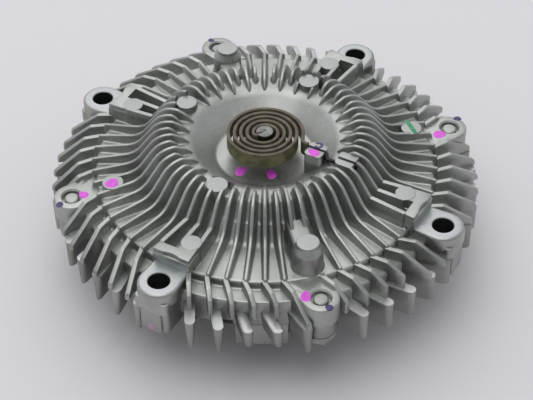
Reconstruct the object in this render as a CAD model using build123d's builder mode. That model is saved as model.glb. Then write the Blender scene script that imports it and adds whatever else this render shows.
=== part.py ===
"""Viscous fan clutch: finned front cover, bimetal coil, rear casting, bearing, rotor and shaft.

The origin is the centre of the rear mounting face of the shaft flange. +Z runs along the shaft
to the front. The four fan lugs stand at 45, 135, 225 and 315 degrees, the four screw lugs at
0, 90, 180 and 270 degrees. All sizes are in millimetres and degrees.
"""

import math
import os

from build123d import *

# Stack of heights along the shaft, from the rear mounting face to the front
flange_thickness = 8.0
flange_gap = 1.4
hub_lip = 1.35
bearing_clip_thickness = 1.75
bearing_width = 14.0
bearing_shoulder = 1.5
rotor_rear_gap = 1.0
rotor_thickness = 7.0
land_height = 3.5
land_end_gap = 0.5
cover_web = 3.7
fan_face_rise = 1.3
cover_depth = 5.0

# Front cover, turned form
dish_radius = 19.9
dish_rise = 3.8
crown_inner = 31.0
crown_width = 7.5
crown_hollow_inset = 2.0
crown_rise = 13.3
skirt_width = 11.5
ledge_width = 7.3
ledge_drop = 3.3
blade_overhang = 10.4
rim_wall = 8.9
reservoir_wall = 9.0
cover_wall = 4.0
centre_boss_radius = 7.5
centre_boss_rise = 2.1

# Fins of the front cover
fin_count = 60
fin_top_width = 1.5
fin_draft = 0.08
fin_crest_rise = 18.1
fin_nose_length = 6.3
fin_rise_length = 2.3
fin_nose_drop = 2.0
fin_crest_length = 5.9
fin_fall_length = 9.9
fin_foot_rise = 5.0
fin_ridge_curve = 9.5
fin_end_length = 1.3
fin_end_rise = 2.3
long_fin_lead = 0.8
short_fin_lead = 2.8
short_fin_lean = 0.8
fin_root = 1.2

# Swept blades at the rim of the cover
blade_sweep = 26.0
blade_width = 2.0
blade_start_gap = 1.6
blade_flat = 5.5
blade_top_rise = 1.5
blade_shoulder_drop = 8.0

# Lugs
lug_overhang = 3.1
fan_lug_radius = 8.5
fan_lug_foot = 7.3
fan_lug_corner = 2.0
fan_hole_radius = 4.25
fan_spotface_radius = 13.0
fan_recess_radius = 9.75
fan_recess_depth = 2.0
fan_table_rise = 7.3
fan_table_length = 19.5
fan_table_overlap = 1.4
fan_table_angle = 6.3
fan_pocket_wall = 5.0
fan_pad_inset = 9.2
screw_lug_radius = 7.2
counterbore_radius = 3.8
counterbore_depth = 2.0
lug_neck_near = 3.5
lug_neck_far = 10.5

# Ejector pads, posts and coil anchors of the cover
pad_radius = 4.3
crown_pad_lead = 6.0
crown_pad_rise = 16.3
low_pad_inset = 6.6
low_pad_rise = 3.6
post_inset = 7.3
post_rise = 12.3
post_top_radius = 4.5
post_body_radius = 5.5
post_cap = 2.6
post_buttress_length = 13.0
post_buttress_width = 10.0
post_buttress_rise = 6.0
post_clear_length = 10.0
post_clear_end = 6.2
post_clear_side = 5.4

# Bimetal coil and the two slotted bosses that hold its outer leg
coil_height = 6.4
coil_thickness = 1.1
coil_inner_radius = 4.6
coil_outer_radius = 16.0
coil_gap = 3.4
leg_angle = 316.0
leg_offset = 1.9
leg_end_offset = -1.3
leg_bend = 2.5
leg_jog_lead = 3.8
leg_jog_length = 1.8
leg_end_length = 0.6
leg_play = 0.1
leg_floor = 54.2
leg_step_length = 1.3
coil_quarter_turns = 18
hook_angle = 195.0
hook_bend = 1.2
hook_inner_end = 0.8
anchor_gap = 3.0
anchor_rise = 14.5
anchor_far = 3.4
anchor_near = 2.9
anchor_corner_share = 0.229
crown_anchor_lead = 2.3
crown_anchor_length = 7.8
crown_anchor_rise = 17.1
crown_anchor_width = 6.0
crown_anchor_shift = -1.2

# Valve
valve_shaft_radius = 4.0
running_gap = 0.05
valve_tip_radius = 3.5
valve_tip_rise = 0.3
valve_journal_radius = 2.5
valve_seal_width = 1.6
valve_seal_depth = 1.1
valve_clip_radius = 6.0
valve_clip_thickness = 0.6
arm_thickness = 0.8
arm_clearance = 1.05
arm_rim = 1.5
chamber_step_radius = 11.9
arm_gap = 0.15
arm_width = 6.0
arm_pad_radius = 4.5
arm_reach = 28.0
arm_travel = 55.0
stop_pin_circle = 16.0
stop_pin_radius = 1.2
stop_pin_height = 1.3
stop_gap = 0.3
port_radius = 2.5
port_angle = 60.0

# Separator plate
plate_thickness = 1.0
plate_seat_width = 6.0
plate_screw_inset = 3.0
plate_screw_count = 4
plate_screw_radius = 1.5
plate_screw_head_radius = 2.7
plate_screw_head = 1.3
plate_screw_depth = 3.0
plate_screw_angle = 20.0

# Rotor and the rings that shear the oil
rotor_land_width = 16.3
rotor_rim_gap = 1.2
rotor_hub_radius = 14.0
rotor_bore_radius = 8.5
rotor_recess = 2.0
land_count = 2
land_width = 1.8
land_side_gap = 0.45
land_plate_gap = 3.5
wiper_width = 8.0
wiper_depth = 2.6
wiper_angle = 51.0
wiper_gap = 0.4
wiper_rim_gap = 0.6

# Rear casting
rear_rim_height = 7.0
rear_wall = 4.0
hub_radius = 29.0
bearing_lip_radius = 20.5
rear_fin_count = 48
rear_fin_sweep = 25.0
rear_fin_top_width = 4.5
rear_fin_bottom_width = 2.25
rear_fin_height = 13.5
rear_fin_inset = 1.4
rear_fin_corner = 1.0
rear_step_width = 4.9
rear_rib_width = 2.2
rear_rib_start = 36.0
rear_rib_rise = 5.5
rear_fan_lug_height = 10.4
rear_fan_lug_reach = 6.2
rear_fan_lug_half = 7.0
rear_fan_rib_reach = 7.3
rear_fan_rib_half = 4.6
rear_screw_lug_height = 8.0
rear_screw_lug_radius = 6.0
wrench_radius = 8.2
seal_groove_wall = 3.2
seal_groove_width = 2.2
seal_groove_depth = 2.0

# Blades milled short for balance, as first root, last root and depth, and the balance block
balance_cuts = ((230.0, 256.0, 6.8), (272.0, 292.0, 4.3))
block_start = 246.4
block_end = 261.4
block_height = 10.7
block_fin_height = 8.4
block_depth = 7.0

# Assembly screws
screw_radius = 3.0
screw_clearance = 0.3
screw_tip_drop = 0.5
screw_head_height = 4.0
screw_flange_radius = 6.5
screw_flange_height = 1.3
screw_hex_across = 10.0

# Bearing
bearing_bore_radius = 10.0
bearing_outer_radius = 23.5
inner_race_radius = 14.2
outer_race_radius = 19.4
ball_radius = 3.9
ball_pitch_radius = 16.75
ball_count = 8
race_gap = 0.1
cage_inner = 15.6
cage_outer = 17.9
cage_height = 9.6
cage_play = 0.2
seal_thickness = 1.0
seal_inset = 0.3
bearing_clip_depth = 1.3
bearing_clip_ring = 3.0
bearing_clip_opening = 9.0

# Shaft
flange_lobe_circle = 38.0
flange_lobe_radius = 8.0
flange_hole_radius = 4.25
flange_hole_count = 4
pilot_radius = 13.0
pilot_depth = 5.0
shoulder_radius = 13.0
rotor_clip_thickness = 1.2
rotor_clip_depth = 0.5
rotor_clip_radius = 11.5
shaft_end_length = 1.0

# Radii that follow from the crown outwards
crown_outer = crown_inner + crown_width
skirt_radius = crown_outer + skirt_width
reservoir_radius = skirt_radius - reservoir_wall
plate_radius = reservoir_radius + plate_seat_width
plate_screw_circle = plate_radius - plate_screw_inset
land_start = plate_radius + land_plate_gap
long_fin_start = crown_inner - long_fin_lead
short_fin_start = crown_inner + short_fin_lead
fin_rise_radius = crown_inner + fin_rise_length
fin_nose_radius = crown_inner + fin_nose_length
fin_shoulder_radius = fin_nose_radius + fin_crest_length
fin_foot_radius = fin_shoulder_radius + fin_fall_length
crown_pad_radial = crown_inner + crown_pad_lead
crown_anchor_start = crown_inner + crown_anchor_lead
crown_anchor_end = crown_anchor_start + crown_anchor_length
leg_end = crown_anchor_end + leg_end_length
leg_jog_start = crown_inner - leg_jog_lead
leg_jog_end = leg_jog_start + leg_jog_length
leg_step = leg_jog_start + leg_step_length
anchor_start = coil_outer_radius + anchor_gap

# Radii that follow from the lands to the rim and the tips of the blades
rotor_radius = land_start + rotor_land_width
cavity_radius = rotor_radius + rotor_rim_gap
rim_radius = cavity_radius + rim_wall
tip_radius = rim_radius + blade_overhang
web_radius = rim_radius - ledge_width
fin_end_radius = web_radius + fin_end_length
blade_start_radius = web_radius + blade_start_gap
lug_circle_radius = rim_radius + lug_overhang
fan_table_end = web_radius + fan_table_overlap
fan_table_start = fan_table_end - fan_table_length
fan_pocket_end = fan_table_end - fan_pocket_wall
fan_pad_radial = fan_table_end - fan_pad_inset
low_pad_radial = web_radius - low_pad_inset
post_radial = web_radius - post_inset
rear_step_radius = rim_radius - rear_step_width
rear_fin_start = rim_radius - rear_fin_inset
seal_groove_inner = cavity_radius + seal_groove_wall

# Heights that follow from the stack
bearing_rear = flange_thickness + flange_gap + hub_lip + bearing_clip_thickness
bearing_front = bearing_rear + bearing_width
cavity_floor = bearing_front + bearing_shoulder
rotor_rear = cavity_floor + rotor_rear_gap
rotor_front = rotor_rear + rotor_thickness
ceiling = rotor_front + land_height + land_end_gap
web_top = ceiling + cover_web
fan_face = web_top + fan_face_rise
parting = ceiling - cover_depth
dish_floor = web_top + dish_rise
crown_top = web_top + crown_rise
ledge_top = web_top - ledge_drop
centre_boss_top = dish_floor + centre_boss_rise
rear_rim_bottom = parting - rear_rim_height
rear_wall_bottom = cavity_floor - rear_wall
hub_bottom = flange_thickness + flange_gap
coil_bottom = centre_boss_top + coil_gap
coil_top = coil_bottom + coil_height

os.makedirs("parts", exist_ok=True)


# One long fin of the cover: an S-shaped ridge on leaning sides, pointed at its inner end
crest_height = web_top + fin_crest_rise
fin_end_height = web_top + fin_end_rise
lean_run = fin_end_radius - fin_shoulder_radius
lean_fall = crest_height - fin_end_height
lean_length = math.hypot(lean_run, lean_fall)
lean_x = fin_draft * lean_fall / lean_length
lean_z = fin_draft * lean_run / lean_length

with BuildPart() as long_fin:
    with BuildSketch(Plane.XZ.offset(-2 * fin_top_width)):
        with BuildLine():
            ridge = FilletPolyline(
                (fin_nose_radius, crest_height),
                (fin_shoulder_radius, crest_height),
                (fin_foot_radius, web_top + fin_foot_rise),
                (fin_end_radius, fin_end_height),
                radius=fin_ridge_curve,
            )
            Polyline(
                ridge @ 1,
                (fin_end_radius, ledge_top - fin_root),
                (web_radius - fin_root, ledge_top - fin_root),
                (web_radius - fin_root, web_top - fin_root),
                (skirt_radius, web_top - fin_root),
                (crown_outer, crown_top - fin_root),
                (long_fin_start, crown_top - fin_root),
                (long_fin_start, crown_top),
                (fin_rise_radius, crest_height - fin_nose_drop),
                ridge @ 0,
            )
        make_face()
    extrude(amount=4 * fin_top_width)
    for side in (1, -1):
        split(
            bisect_by=Plane(
                origin=(fin_shoulder_radius, side * fin_top_width / 2, crest_height),
                z_dir=(lean_x, side, lean_z),
            ),
            keep=Keep.BOTTOM,
        )
        split(
            bisect_by=Plane(origin=(long_fin_start, 0, crown_top), z_dir=(-0.3, side, 0)),
            keep=Keep.BOTTOM,
        )

# One short fin: the same ridge, whose blunt nose leans back from the crown
with BuildPart() as short_fin:
    add(long_fin.part)
    split(
        bisect_by=Plane(origin=(short_fin_start, 0, crown_top), z_dir=(1, 0, -short_fin_lean)),
        keep=Keep.TOP,
    )

# One swept blade, a flat plate that falls from the ledge to the tip
blade_cos = math.cos(math.radians(blade_sweep))
blade_sin = math.sin(math.radians(blade_sweep))
blade_length = (
    math.sqrt(tip_radius**2 - (blade_start_radius * blade_sin) ** 2)
    - blade_start_radius * blade_cos
)
blade_plane = Plane(
    origin=(blade_start_radius, 0, 0),
    x_dir=(blade_cos, blade_sin, 0),
    z_dir=(blade_sin, -blade_cos, 0),
)
blade_top = web_top + blade_top_rise

with BuildPart() as blade:
    with BuildSketch(blade_plane.offset(-blade_width / 2)) as blade_face:
        with BuildLine():
            Polyline(
                (blade_flat, blade_top),
                (-blade_width, blade_top),
                (-blade_width, parting),
                (blade_length, parting),
                (blade_length, blade_top - blade_shoulder_drop),
                close=True,
            )
        make_face()
    extrude(amount=blade_width)

# The blades milled short for balance: one for each depth
milled_blades = []
for first_root, last_root, depth in balance_cuts:
    with BuildPart() as milled_blade:
        with BuildSketch(Plane.XY.offset(parting)):
            Circle(tip_radius - depth)
        extrude(amount=blade_top - parting)
        add(blade.part, mode=Mode.INTERSECT)
    milled_blades.append(milled_blade.part)

# Front of one fan lug: a raised table over three fins with a round pad and two deep pockets
fin_pitch = math.radians(360 / fin_count)
fin_half = fin_top_width / 2 + 0.2
table_half = fan_table_end * math.sin(math.radians(fan_table_angle))
pocket_start = fan_table_start - fin_root
pad_side = fan_pad_radial * math.sin(fin_pitch / 2)

with BuildPart() as fan_lug:
    with BuildSketch(Plane.XY.offset(parting)):
        with Locations((lug_circle_radius + fan_lug_foot, 0)):
            RectangleRounded(
                2 * (lug_circle_radius + fan_lug_foot - fan_table_end),
                2 * fan_lug_foot,
                fan_lug_corner,
                align=(Align.MAX, Align.CENTER),
            )
    extrude(amount=ledge_top - parting)
    with BuildSketch(Plane.XY.offset(ledge_top)):
        with Locations((lug_circle_radius, 0)):
            Circle(fan_lug_radius)
        with Locations((fan_table_end, 0)):
            Rectangle(2 * fin_root, 2 * table_half)
        make_hull()
    extrude(amount=fan_face - ledge_top)
    with BuildSketch(Plane.XY.offset(web_top - fin_root)):
        with BuildLine():
            table_side = Line(
                (fan_table_start, fan_table_start * math.sin(fin_pitch) + fin_half),
                (fan_table_end, table_half),
            )
            Line(table_side @ 1, (fan_table_end, 0))
            Line(table_side @ 0, (fan_table_start, 0))
            mirror(about=Plane.XZ)
        make_face()
    extrude(amount=fan_table_rise + fin_root)
    with BuildSketch(Plane.XY.offset(web_top)):
        Polygon(
            (pocket_start, -fin_half),
            (pocket_start, fin_half - pocket_start * math.sin(fin_pitch)),
            (fan_pocket_end, fin_half - fan_pocket_end * math.sin(fin_pitch)),
            (fan_pocket_end, -fin_half),
        )
        Polygon(
            (pocket_start, fin_half),
            (fan_pad_radial, fin_half),
            (fan_pad_radial, fan_pad_radial * math.sin(fin_pitch) - fin_half),
            (pocket_start, pocket_start * math.sin(fin_pitch) - fin_half),
        )
        with Locations((fan_pad_radial, pad_side)):
            Circle(pad_radius, mode=Mode.SUBTRACT)
    extrude(amount=fan_table_rise, mode=Mode.SUBTRACT)
    with BuildSketch(Plane.XY.offset(web_top + fan_table_rise - fan_recess_depth)):
        with Locations((lug_circle_radius, 0)):
            Circle(fan_recess_radius)
    extrude(amount=fan_table_rise, mode=Mode.SUBTRACT)

# Front of one screw lug, level with the web, with a neck that fills the ledge on one side
with BuildPart() as screw_lug:
    with BuildSketch(Plane.XY.offset(parting)):
        with Locations((lug_circle_radius, 0)):
            Circle(screw_lug_radius)
        with Locations((web_radius, (lug_neck_near - lug_neck_far) / 2)):
            Rectangle(2 * fin_root, lug_neck_near + lug_neck_far)
        make_hull()
    extrude(amount=web_top - parting)

# What is cleared from the fins: screw lugs, crown pads, posts and the crown anchor
leg_plane = Plane.XY.rotated((0, 0, leg_angle))
leg_slot_width = coil_thickness + 2 * leg_play
anchor_end = leg_jog_start - coil_thickness / 2 - leg_play
anchor_corner = anchor_corner_share * (anchor_end - anchor_start)
crown_anchor_middle = (crown_anchor_start + crown_anchor_end) / 2
clear_height = fin_crest_rise + fin_root

with BuildPart() as cover_clearances:
    with BuildSketch(Plane.XY.offset(web_top)):
        with PolarLocations(lug_circle_radius, 4):
            Circle(screw_lug_radius)
    extrude(amount=clear_height)
    with BuildSketch(Plane.XY.offset(web_top + crown_pad_rise)):
        with PolarLocations(crown_pad_radial, 3, start_angle=45, angular_range=270):
            Circle(pad_radius)
    extrude(amount=clear_height)
    with BuildSketch(leg_plane.offset(web_top + crown_anchor_rise)):
        with Locations((crown_anchor_middle, crown_anchor_shift)):
            Rectangle(crown_anchor_end - crown_anchor_start, crown_anchor_width)
    extrude(amount=clear_height)
    with BuildSketch(Plane.XY.offset(web_top)):
        with PolarLocations(post_radial, 2, start_angle=90):
            Polygon(
                (-post_clear_length, -post_clear_side),
                (post_inset + fin_root + fin_end_length, -post_clear_side),
                (post_inset + fin_root + fin_end_length, 0),
                (post_clear_end, 0),
                (post_clear_end, post_clear_side),
                (-post_clear_length, post_clear_side),
                align=None,
            )
    extrude(amount=clear_height)

# What stands on the cover: screw lugs, pads, posts and the two bosses of the coil's leg
with BuildPart() as cover_stands:
    with PolarLocations(0, 4):
        add(screw_lug.part)
    with BuildSketch(Plane.XY.offset(web_top)):
        with PolarLocations(crown_pad_radial, 3, start_angle=45, angular_range=270):
            Circle(pad_radius)
    extrude(amount=crown_pad_rise)
    with BuildSketch(Plane.XY.offset(web_top)):
        with PolarLocations(low_pad_radial, 2):
            Circle(pad_radius)
    extrude(amount=low_pad_rise)
    with BuildSketch(Plane.XY.offset(web_top)):
        with PolarLocations(post_radial, 2, start_angle=90):
            Circle(post_body_radius)
    extrude(amount=post_rise - post_cap)
    with BuildSketch(Plane.XY.offset(web_top)):
        with PolarLocations(post_radial, 2, start_angle=90):
            with Locations((-post_buttress_length / 2, 0)):
                Rectangle(post_buttress_length, post_buttress_width)
    extrude(amount=post_buttress_rise)
    with BuildSketch(Plane.XY.offset(web_top)):
        with PolarLocations(post_radial, 2, start_angle=90):
            Circle(post_top_radius)
    extrude(amount=post_rise)
    with BuildSketch(leg_plane.offset(web_top)):
        with Locations(
            ((anchor_start + anchor_end) / 2, (leg_offset + anchor_far - anchor_near) / 2)
        ):
            RectangleRounded(
                anchor_end - anchor_start,
                leg_offset + anchor_far + anchor_near,
                anchor_corner,
            )
    extrude(amount=anchor_rise)
    with BuildSketch(leg_plane.offset(web_top)):
        with Locations((crown_anchor_middle, crown_anchor_shift)):
            Rectangle(crown_anchor_end - crown_anchor_start, crown_anchor_width)
    extrude(amount=crown_anchor_rise)
    with BuildSketch(Plane.XY.offset(web_top)):
        Circle(centre_boss_radius)
    extrude(amount=centre_boss_top - web_top)

# What is open in the cover: the chambers round the rings, the holes and the slot of the leg
arm_top = ceiling + arm_gap + arm_thickness
chamber_roof = arm_top + arm_clearance
land_pitch = 2 * (land_width + land_side_gap)

with BuildPart() as cover_openings:
    with BuildSketch(Plane.XZ):
        with BuildLine():
            Polyline(
                (0, parting),
                (cavity_radius, parting),
                (cavity_radius, ceiling),
                (reservoir_radius, ceiling),
                (reservoir_radius, ceiling + cover_wall),
                (crown_outer - crown_hollow_inset, crown_top - cover_wall),
                (crown_inner, crown_top - cover_wall),
                (dish_radius, dish_floor - cover_wall),
                (chamber_step_radius, dish_floor - cover_wall),
                (chamber_step_radius, chamber_roof),
                (0, chamber_roof),
                close=True,
            )
        make_face()
    revolve(axis=Axis.Z)
    with BuildSketch(Plane.XY.offset(ceiling)):
        for ring in range(land_count):
            Circle(land_start + ring * land_pitch + land_width)
            Circle(land_start + ring * land_pitch, mode=Mode.SUBTRACT)
    extrude(amount=-land_height, mode=Mode.SUBTRACT)
    with BuildSketch(Plane.XY.offset(parting)):
        with PolarLocations(lug_circle_radius, 4, start_angle=45):
            Circle(fan_hole_radius)
        with PolarLocations(lug_circle_radius, 4):
            Circle(screw_radius)
    extrude(amount=fan_face - parting)
    with BuildSketch(Plane.XY.offset(web_top - counterbore_depth)):
        with PolarLocations(lug_circle_radius, 4):
            Circle(counterbore_radius)
    extrude(amount=counterbore_depth)
    with BuildSketch(Plane.XY.offset(ceiling)):
        with PolarLocations(plate_screw_circle, plate_screw_count, start_angle=plate_screw_angle):
            Circle(plate_screw_radius)
    extrude(amount=plate_screw_depth)
    with BuildSketch(Plane.XY.offset(ceiling)):
        Circle(valve_shaft_radius + running_gap)
    extrude(amount=centre_boss_top - ceiling)
    with BuildSketch(leg_plane.offset(crown_top)):
        with BuildLine():
            Polyline(
                (coil_outer_radius, leg_offset),
                (leg_jog_start, leg_offset),
                (leg_jog_end, leg_end_offset),
                (leg_end + leg_play, leg_end_offset),
            )
        trace(line_width=leg_slot_width)
    extrude(amount=clear_height)
    with BuildSketch(leg_plane.offset(leg_floor - leg_play)):
        with BuildLine():
            Polyline(
                (coil_outer_radius, leg_offset),
                (leg_jog_start, leg_offset),
                (leg_jog_end, leg_end_offset),
            )
        trace(line_width=leg_slot_width)
    extrude(amount=crown_top - leg_floor + leg_play)

# Front cover: one die casting, turned form, fins and blades first
with BuildPart() as front_cover:
    with BuildSketch(Plane.XZ):
        with BuildLine():
            Polyline(
                (0, parting),
                (0, dish_floor),
                (dish_radius, dish_floor),
                (crown_inner, crown_top),
                (crown_outer, crown_top),
                (skirt_radius, web_top),
                (web_radius, web_top),
                (web_radius, ledge_top),
                (rim_radius, ledge_top),
                (rim_radius, parting),
                close=True,
            )
        make_face()
    revolve(axis=Axis.Z)
    with PolarLocations(0, fin_count // 2, start_angle=45 + 360 / fin_count):
        add(long_fin.part)
    with PolarLocations(0, fin_count // 2, start_angle=45):
        add(short_fin.part)
    lug_step = fin_count // 4
    bare_steps = (0, lug_step // 2, lug_step - 1)
    roots = [
        45 + 360 / fin_count * step
        for step in range(fin_count)
        if step % lug_step not in bare_steps
    ]
    for (first_root, last_root, depth), milled in zip(balance_cuts, milled_blades):
        milled_roots = [root for root in roots if first_root < root % 360 < last_root]
        roots = [root for root in roots if root not in milled_roots]
        with Locations(*[Rotation(0, 0, root) for root in milled_roots]):
            add(milled)
    with Locations(*[Rotation(0, 0, root) for root in roots]):
        add(blade.part)
    add(cover_clearances.part, mode=Mode.SUBTRACT)
    with BuildSketch(Plane.XY.offset(fan_face)):
        with PolarLocations(lug_circle_radius, 4, start_angle=45):
            Circle(fan_spotface_radius)
    extrude(amount=clear_height, mode=Mode.SUBTRACT)
    add(cover_stands.part)
    with PolarLocations(0, 4, start_angle=45):
        add(fan_lug.part)
    add(cover_openings.part, mode=Mode.SUBTRACT)

front_cover.part.label = "front_cover"
export_step(front_cover.part, "parts/front_cover.step")

# Rear lug of one fan bolt and of one screw, both hung from the joint face
with BuildPart() as rear_fan_lug:
    with BuildSketch(Plane.XY.offset(parting)):
        with Locations((lug_circle_radius + rear_fan_lug_reach, 0)):
            RectangleRounded(
                lug_circle_radius + rear_fan_lug_reach - rear_fin_start,
                2 * rear_fan_lug_half,
                fan_lug_corner,
                align=(Align.MAX, Align.CENTER),
            )
        with Locations((rear_fin_start - fin_root, 0)):
            Rectangle(
                2 * fan_lug_corner + fin_root,
                2 * rear_fan_lug_half,
                align=(Align.MIN, Align.CENTER),
            )
        with Locations((lug_circle_radius + rear_fan_rib_reach, 0)):
            Rectangle(
                rear_fan_rib_reach,
                2 * rear_fan_rib_half,
                align=(Align.MAX, Align.CENTER),
            )
    extrude(amount=-rear_fan_lug_height)

with BuildPart() as rear_screw_lug:
    with BuildSketch(Plane.XY.offset(parting)):
        with Locations((lug_circle_radius, 0)):
            Circle(rear_screw_lug_radius)
        with Locations((rear_fin_start, 0)):
            Rectangle(2 * fin_root, 2 * rear_screw_lug_radius)
        make_hull()
    extrude(amount=-rear_screw_lug_height)

# One fin of the rear casting: a radial rib on the wall and a swept, drafted bar at the rim
rear_sweep = math.radians(rear_fin_sweep)
rear_fin_length = math.sqrt(
    tip_radius**2 - (rear_fin_start * math.sin(rear_sweep)) ** 2
) - rear_fin_start * math.cos(rear_sweep)
rear_fin_bottom = parting - rear_fin_height
rear_fin_plane = Plane(
    origin=(rear_fin_start, 0, parting),
    x_dir=(-math.sin(rear_sweep), math.cos(rear_sweep), 0),
    z_dir=(math.cos(rear_sweep), math.sin(rear_sweep), 0),
)

with BuildPart() as rear_fin:
    with BuildSketch(rear_fin_plane):
        with BuildLine():
            Polyline(
                (-rear_fin_top_width / 2, 0),
                (rear_fin_top_width / 2, 0),
                (rear_fin_bottom_width / 2, -rear_fin_height),
                (-rear_fin_bottom_width / 2, -rear_fin_height),
                close=True,
            )
        make_face()
    extrude(amount=rear_fin_length)
    rear_fin_tip = rear_fin.faces().sort_by(Axis.X)[-1]
    chamfer(rear_fin_tip.edges().sort_by(Axis.Y)[0::3], length=rear_fin_corner)

with BuildPart() as rear_rib:
    with BuildSketch(Plane.XZ.offset(-rear_rib_width / 2)):
        with BuildLine():
            Polyline(
                (rear_rib_start, rear_wall_bottom + fin_root),
                (rear_rib_start, rear_wall_bottom - rear_rib_rise),
                (rear_fin_start, rear_fin_bottom),
                (rim_radius, rear_fin_bottom),
                (rim_radius, rear_rim_bottom + fin_root),
                (rear_step_radius - fin_root, rear_rim_bottom + fin_root),
                (rear_step_radius - fin_root, rear_wall_bottom + fin_root),
                close=True,
            )
        make_face()
    extrude(amount=rear_rib_width)

# What is cleared from the rear fins: room for nuts and screw heads, and for the balance block
with BuildPart() as rear_clearances:
    with BuildSketch(Plane.XY.offset(parting)):
        with PolarLocations(lug_circle_radius, 8):
            Circle(wrench_radius)
    extrude(amount=-2 * rear_fin_height)
    with BuildSketch(Plane.XY.offset(parting - block_fin_height)):
        with BuildLine():
            outer = CenterArc((0, 0), tip_radius + fin_root, block_start, block_end - block_start)
            inner = CenterArc((0, 0), rim_radius, block_start, block_end - block_start)
            Line(outer @ 0, inner @ 0)
            Line(outer @ 1, inner @ 1)
        make_face()
    extrude(amount=-rear_fin_height)

# What stands on the rear casting: the lugs and the cast balance block
with BuildPart() as rear_stands:
    with PolarLocations(0, 4, start_angle=45):
        add(rear_fan_lug.part)
    with PolarLocations(0, 4):
        add(rear_screw_lug.part)
    with BuildSketch(Plane.XY.offset(rear_rim_bottom)):
        with BuildLine():
            outer = CenterArc((0, 0), rim_radius, block_start, block_end - block_start)
            inner = CenterArc((0, 0), rim_radius - block_depth, block_start, block_end - block_start)
            Line(outer @ 0, inner @ 0)
            Line(outer @ 1, inner @ 1)
        make_face()
    extrude(amount=-block_height)

# What is open in the rear casting: bolt and screw holes, clip groove and seal groove
clip_groove_radius = bearing_outer_radius + bearing_clip_depth

with BuildPart() as rear_openings:
    with BuildSketch(Plane.XY.offset(parting)):
        with PolarLocations(lug_circle_radius, 4, start_angle=45):
            Circle(fan_hole_radius)
        with PolarLocations(lug_circle_radius, 4):
            Circle(screw_radius + screw_clearance)
    extrude(amount=-rear_fin_height)
    with BuildSketch(Plane.XY.offset(bearing_rear)):
        Circle(clip_groove_radius)
    extrude(amount=-bearing_clip_thickness)
    with BuildSketch(Plane.XY.offset(parting)):
        Circle(seal_groove_inner + seal_groove_width)
        Circle(seal_groove_inner, mode=Mode.SUBTRACT)
    extrude(amount=-seal_groove_depth)

# Rear casting: turned bowl with the hub, then ribs, swept fins and eight lugs
with BuildPart() as rear_body:
    with BuildSketch(Plane.XZ):
        with BuildLine():
            Polyline(
                (bearing_outer_radius, hub_bottom),
                (hub_radius, hub_bottom),
                (hub_radius, rear_wall_bottom),
                (rear_step_radius, rear_wall_bottom),
                (rear_step_radius, rear_rim_bottom),
                (rim_radius, rear_rim_bottom),
                (rim_radius, parting),
                (cavity_radius, parting),
                (cavity_radius, cavity_floor),
                (bearing_lip_radius, cavity_floor),
                (bearing_lip_radius, bearing_front),
                (bearing_outer_radius, bearing_front),
                close=True,
            )
        make_face()
    revolve(axis=Axis.Z)
    with PolarLocations(0, rear_fin_count):
        add(rear_rib.part)
    fins_between_lugs = rear_fin_count // 8 - 1
    for eighth in range(8):
        with PolarLocations(
            0,
            fins_between_lugs,
            start_angle=45 * eighth + 360 / rear_fin_count,
            angular_range=45 - 360 / rear_fin_count,
        ):
            add(rear_fin.part)
    add(rear_clearances.part, mode=Mode.SUBTRACT)
    add(rear_stands.part)
    add(rear_openings.part, mode=Mode.SUBTRACT)

rear_body.part.label = "rear_body"
export_step(rear_body.part, "parts/rear_body.step")

# Rubber ring in the joint face between the two castings
with BuildPart() as body_seal:
    with BuildSketch(Plane.XY.offset(parting - seal_groove_depth)):
        Circle(seal_groove_inner + seal_groove_width)
        Circle(seal_groove_inner, mode=Mode.SUBTRACT)
    extrude(amount=seal_groove_depth)

body_seal.part.label = "body_seal"
export_step(body_seal.part, "parts/body_seal.step")

# Bimetal coil: an inner hook, a spiral of quarter arcs and the cranked outer leg
hook_turn = math.degrees(math.asin(hook_bend / (coil_inner_radius - hook_bend)))
hook_reach = (coil_inner_radius - hook_bend) * math.cos(math.radians(hook_turn))
hook_line = hook_angle - leg_angle
coil_step = (coil_outer_radius - coil_inner_radius) / coil_quarter_turns
leg_start_turn = (hook_line - hook_turn - 90 * coil_quarter_turns) % 360

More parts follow.
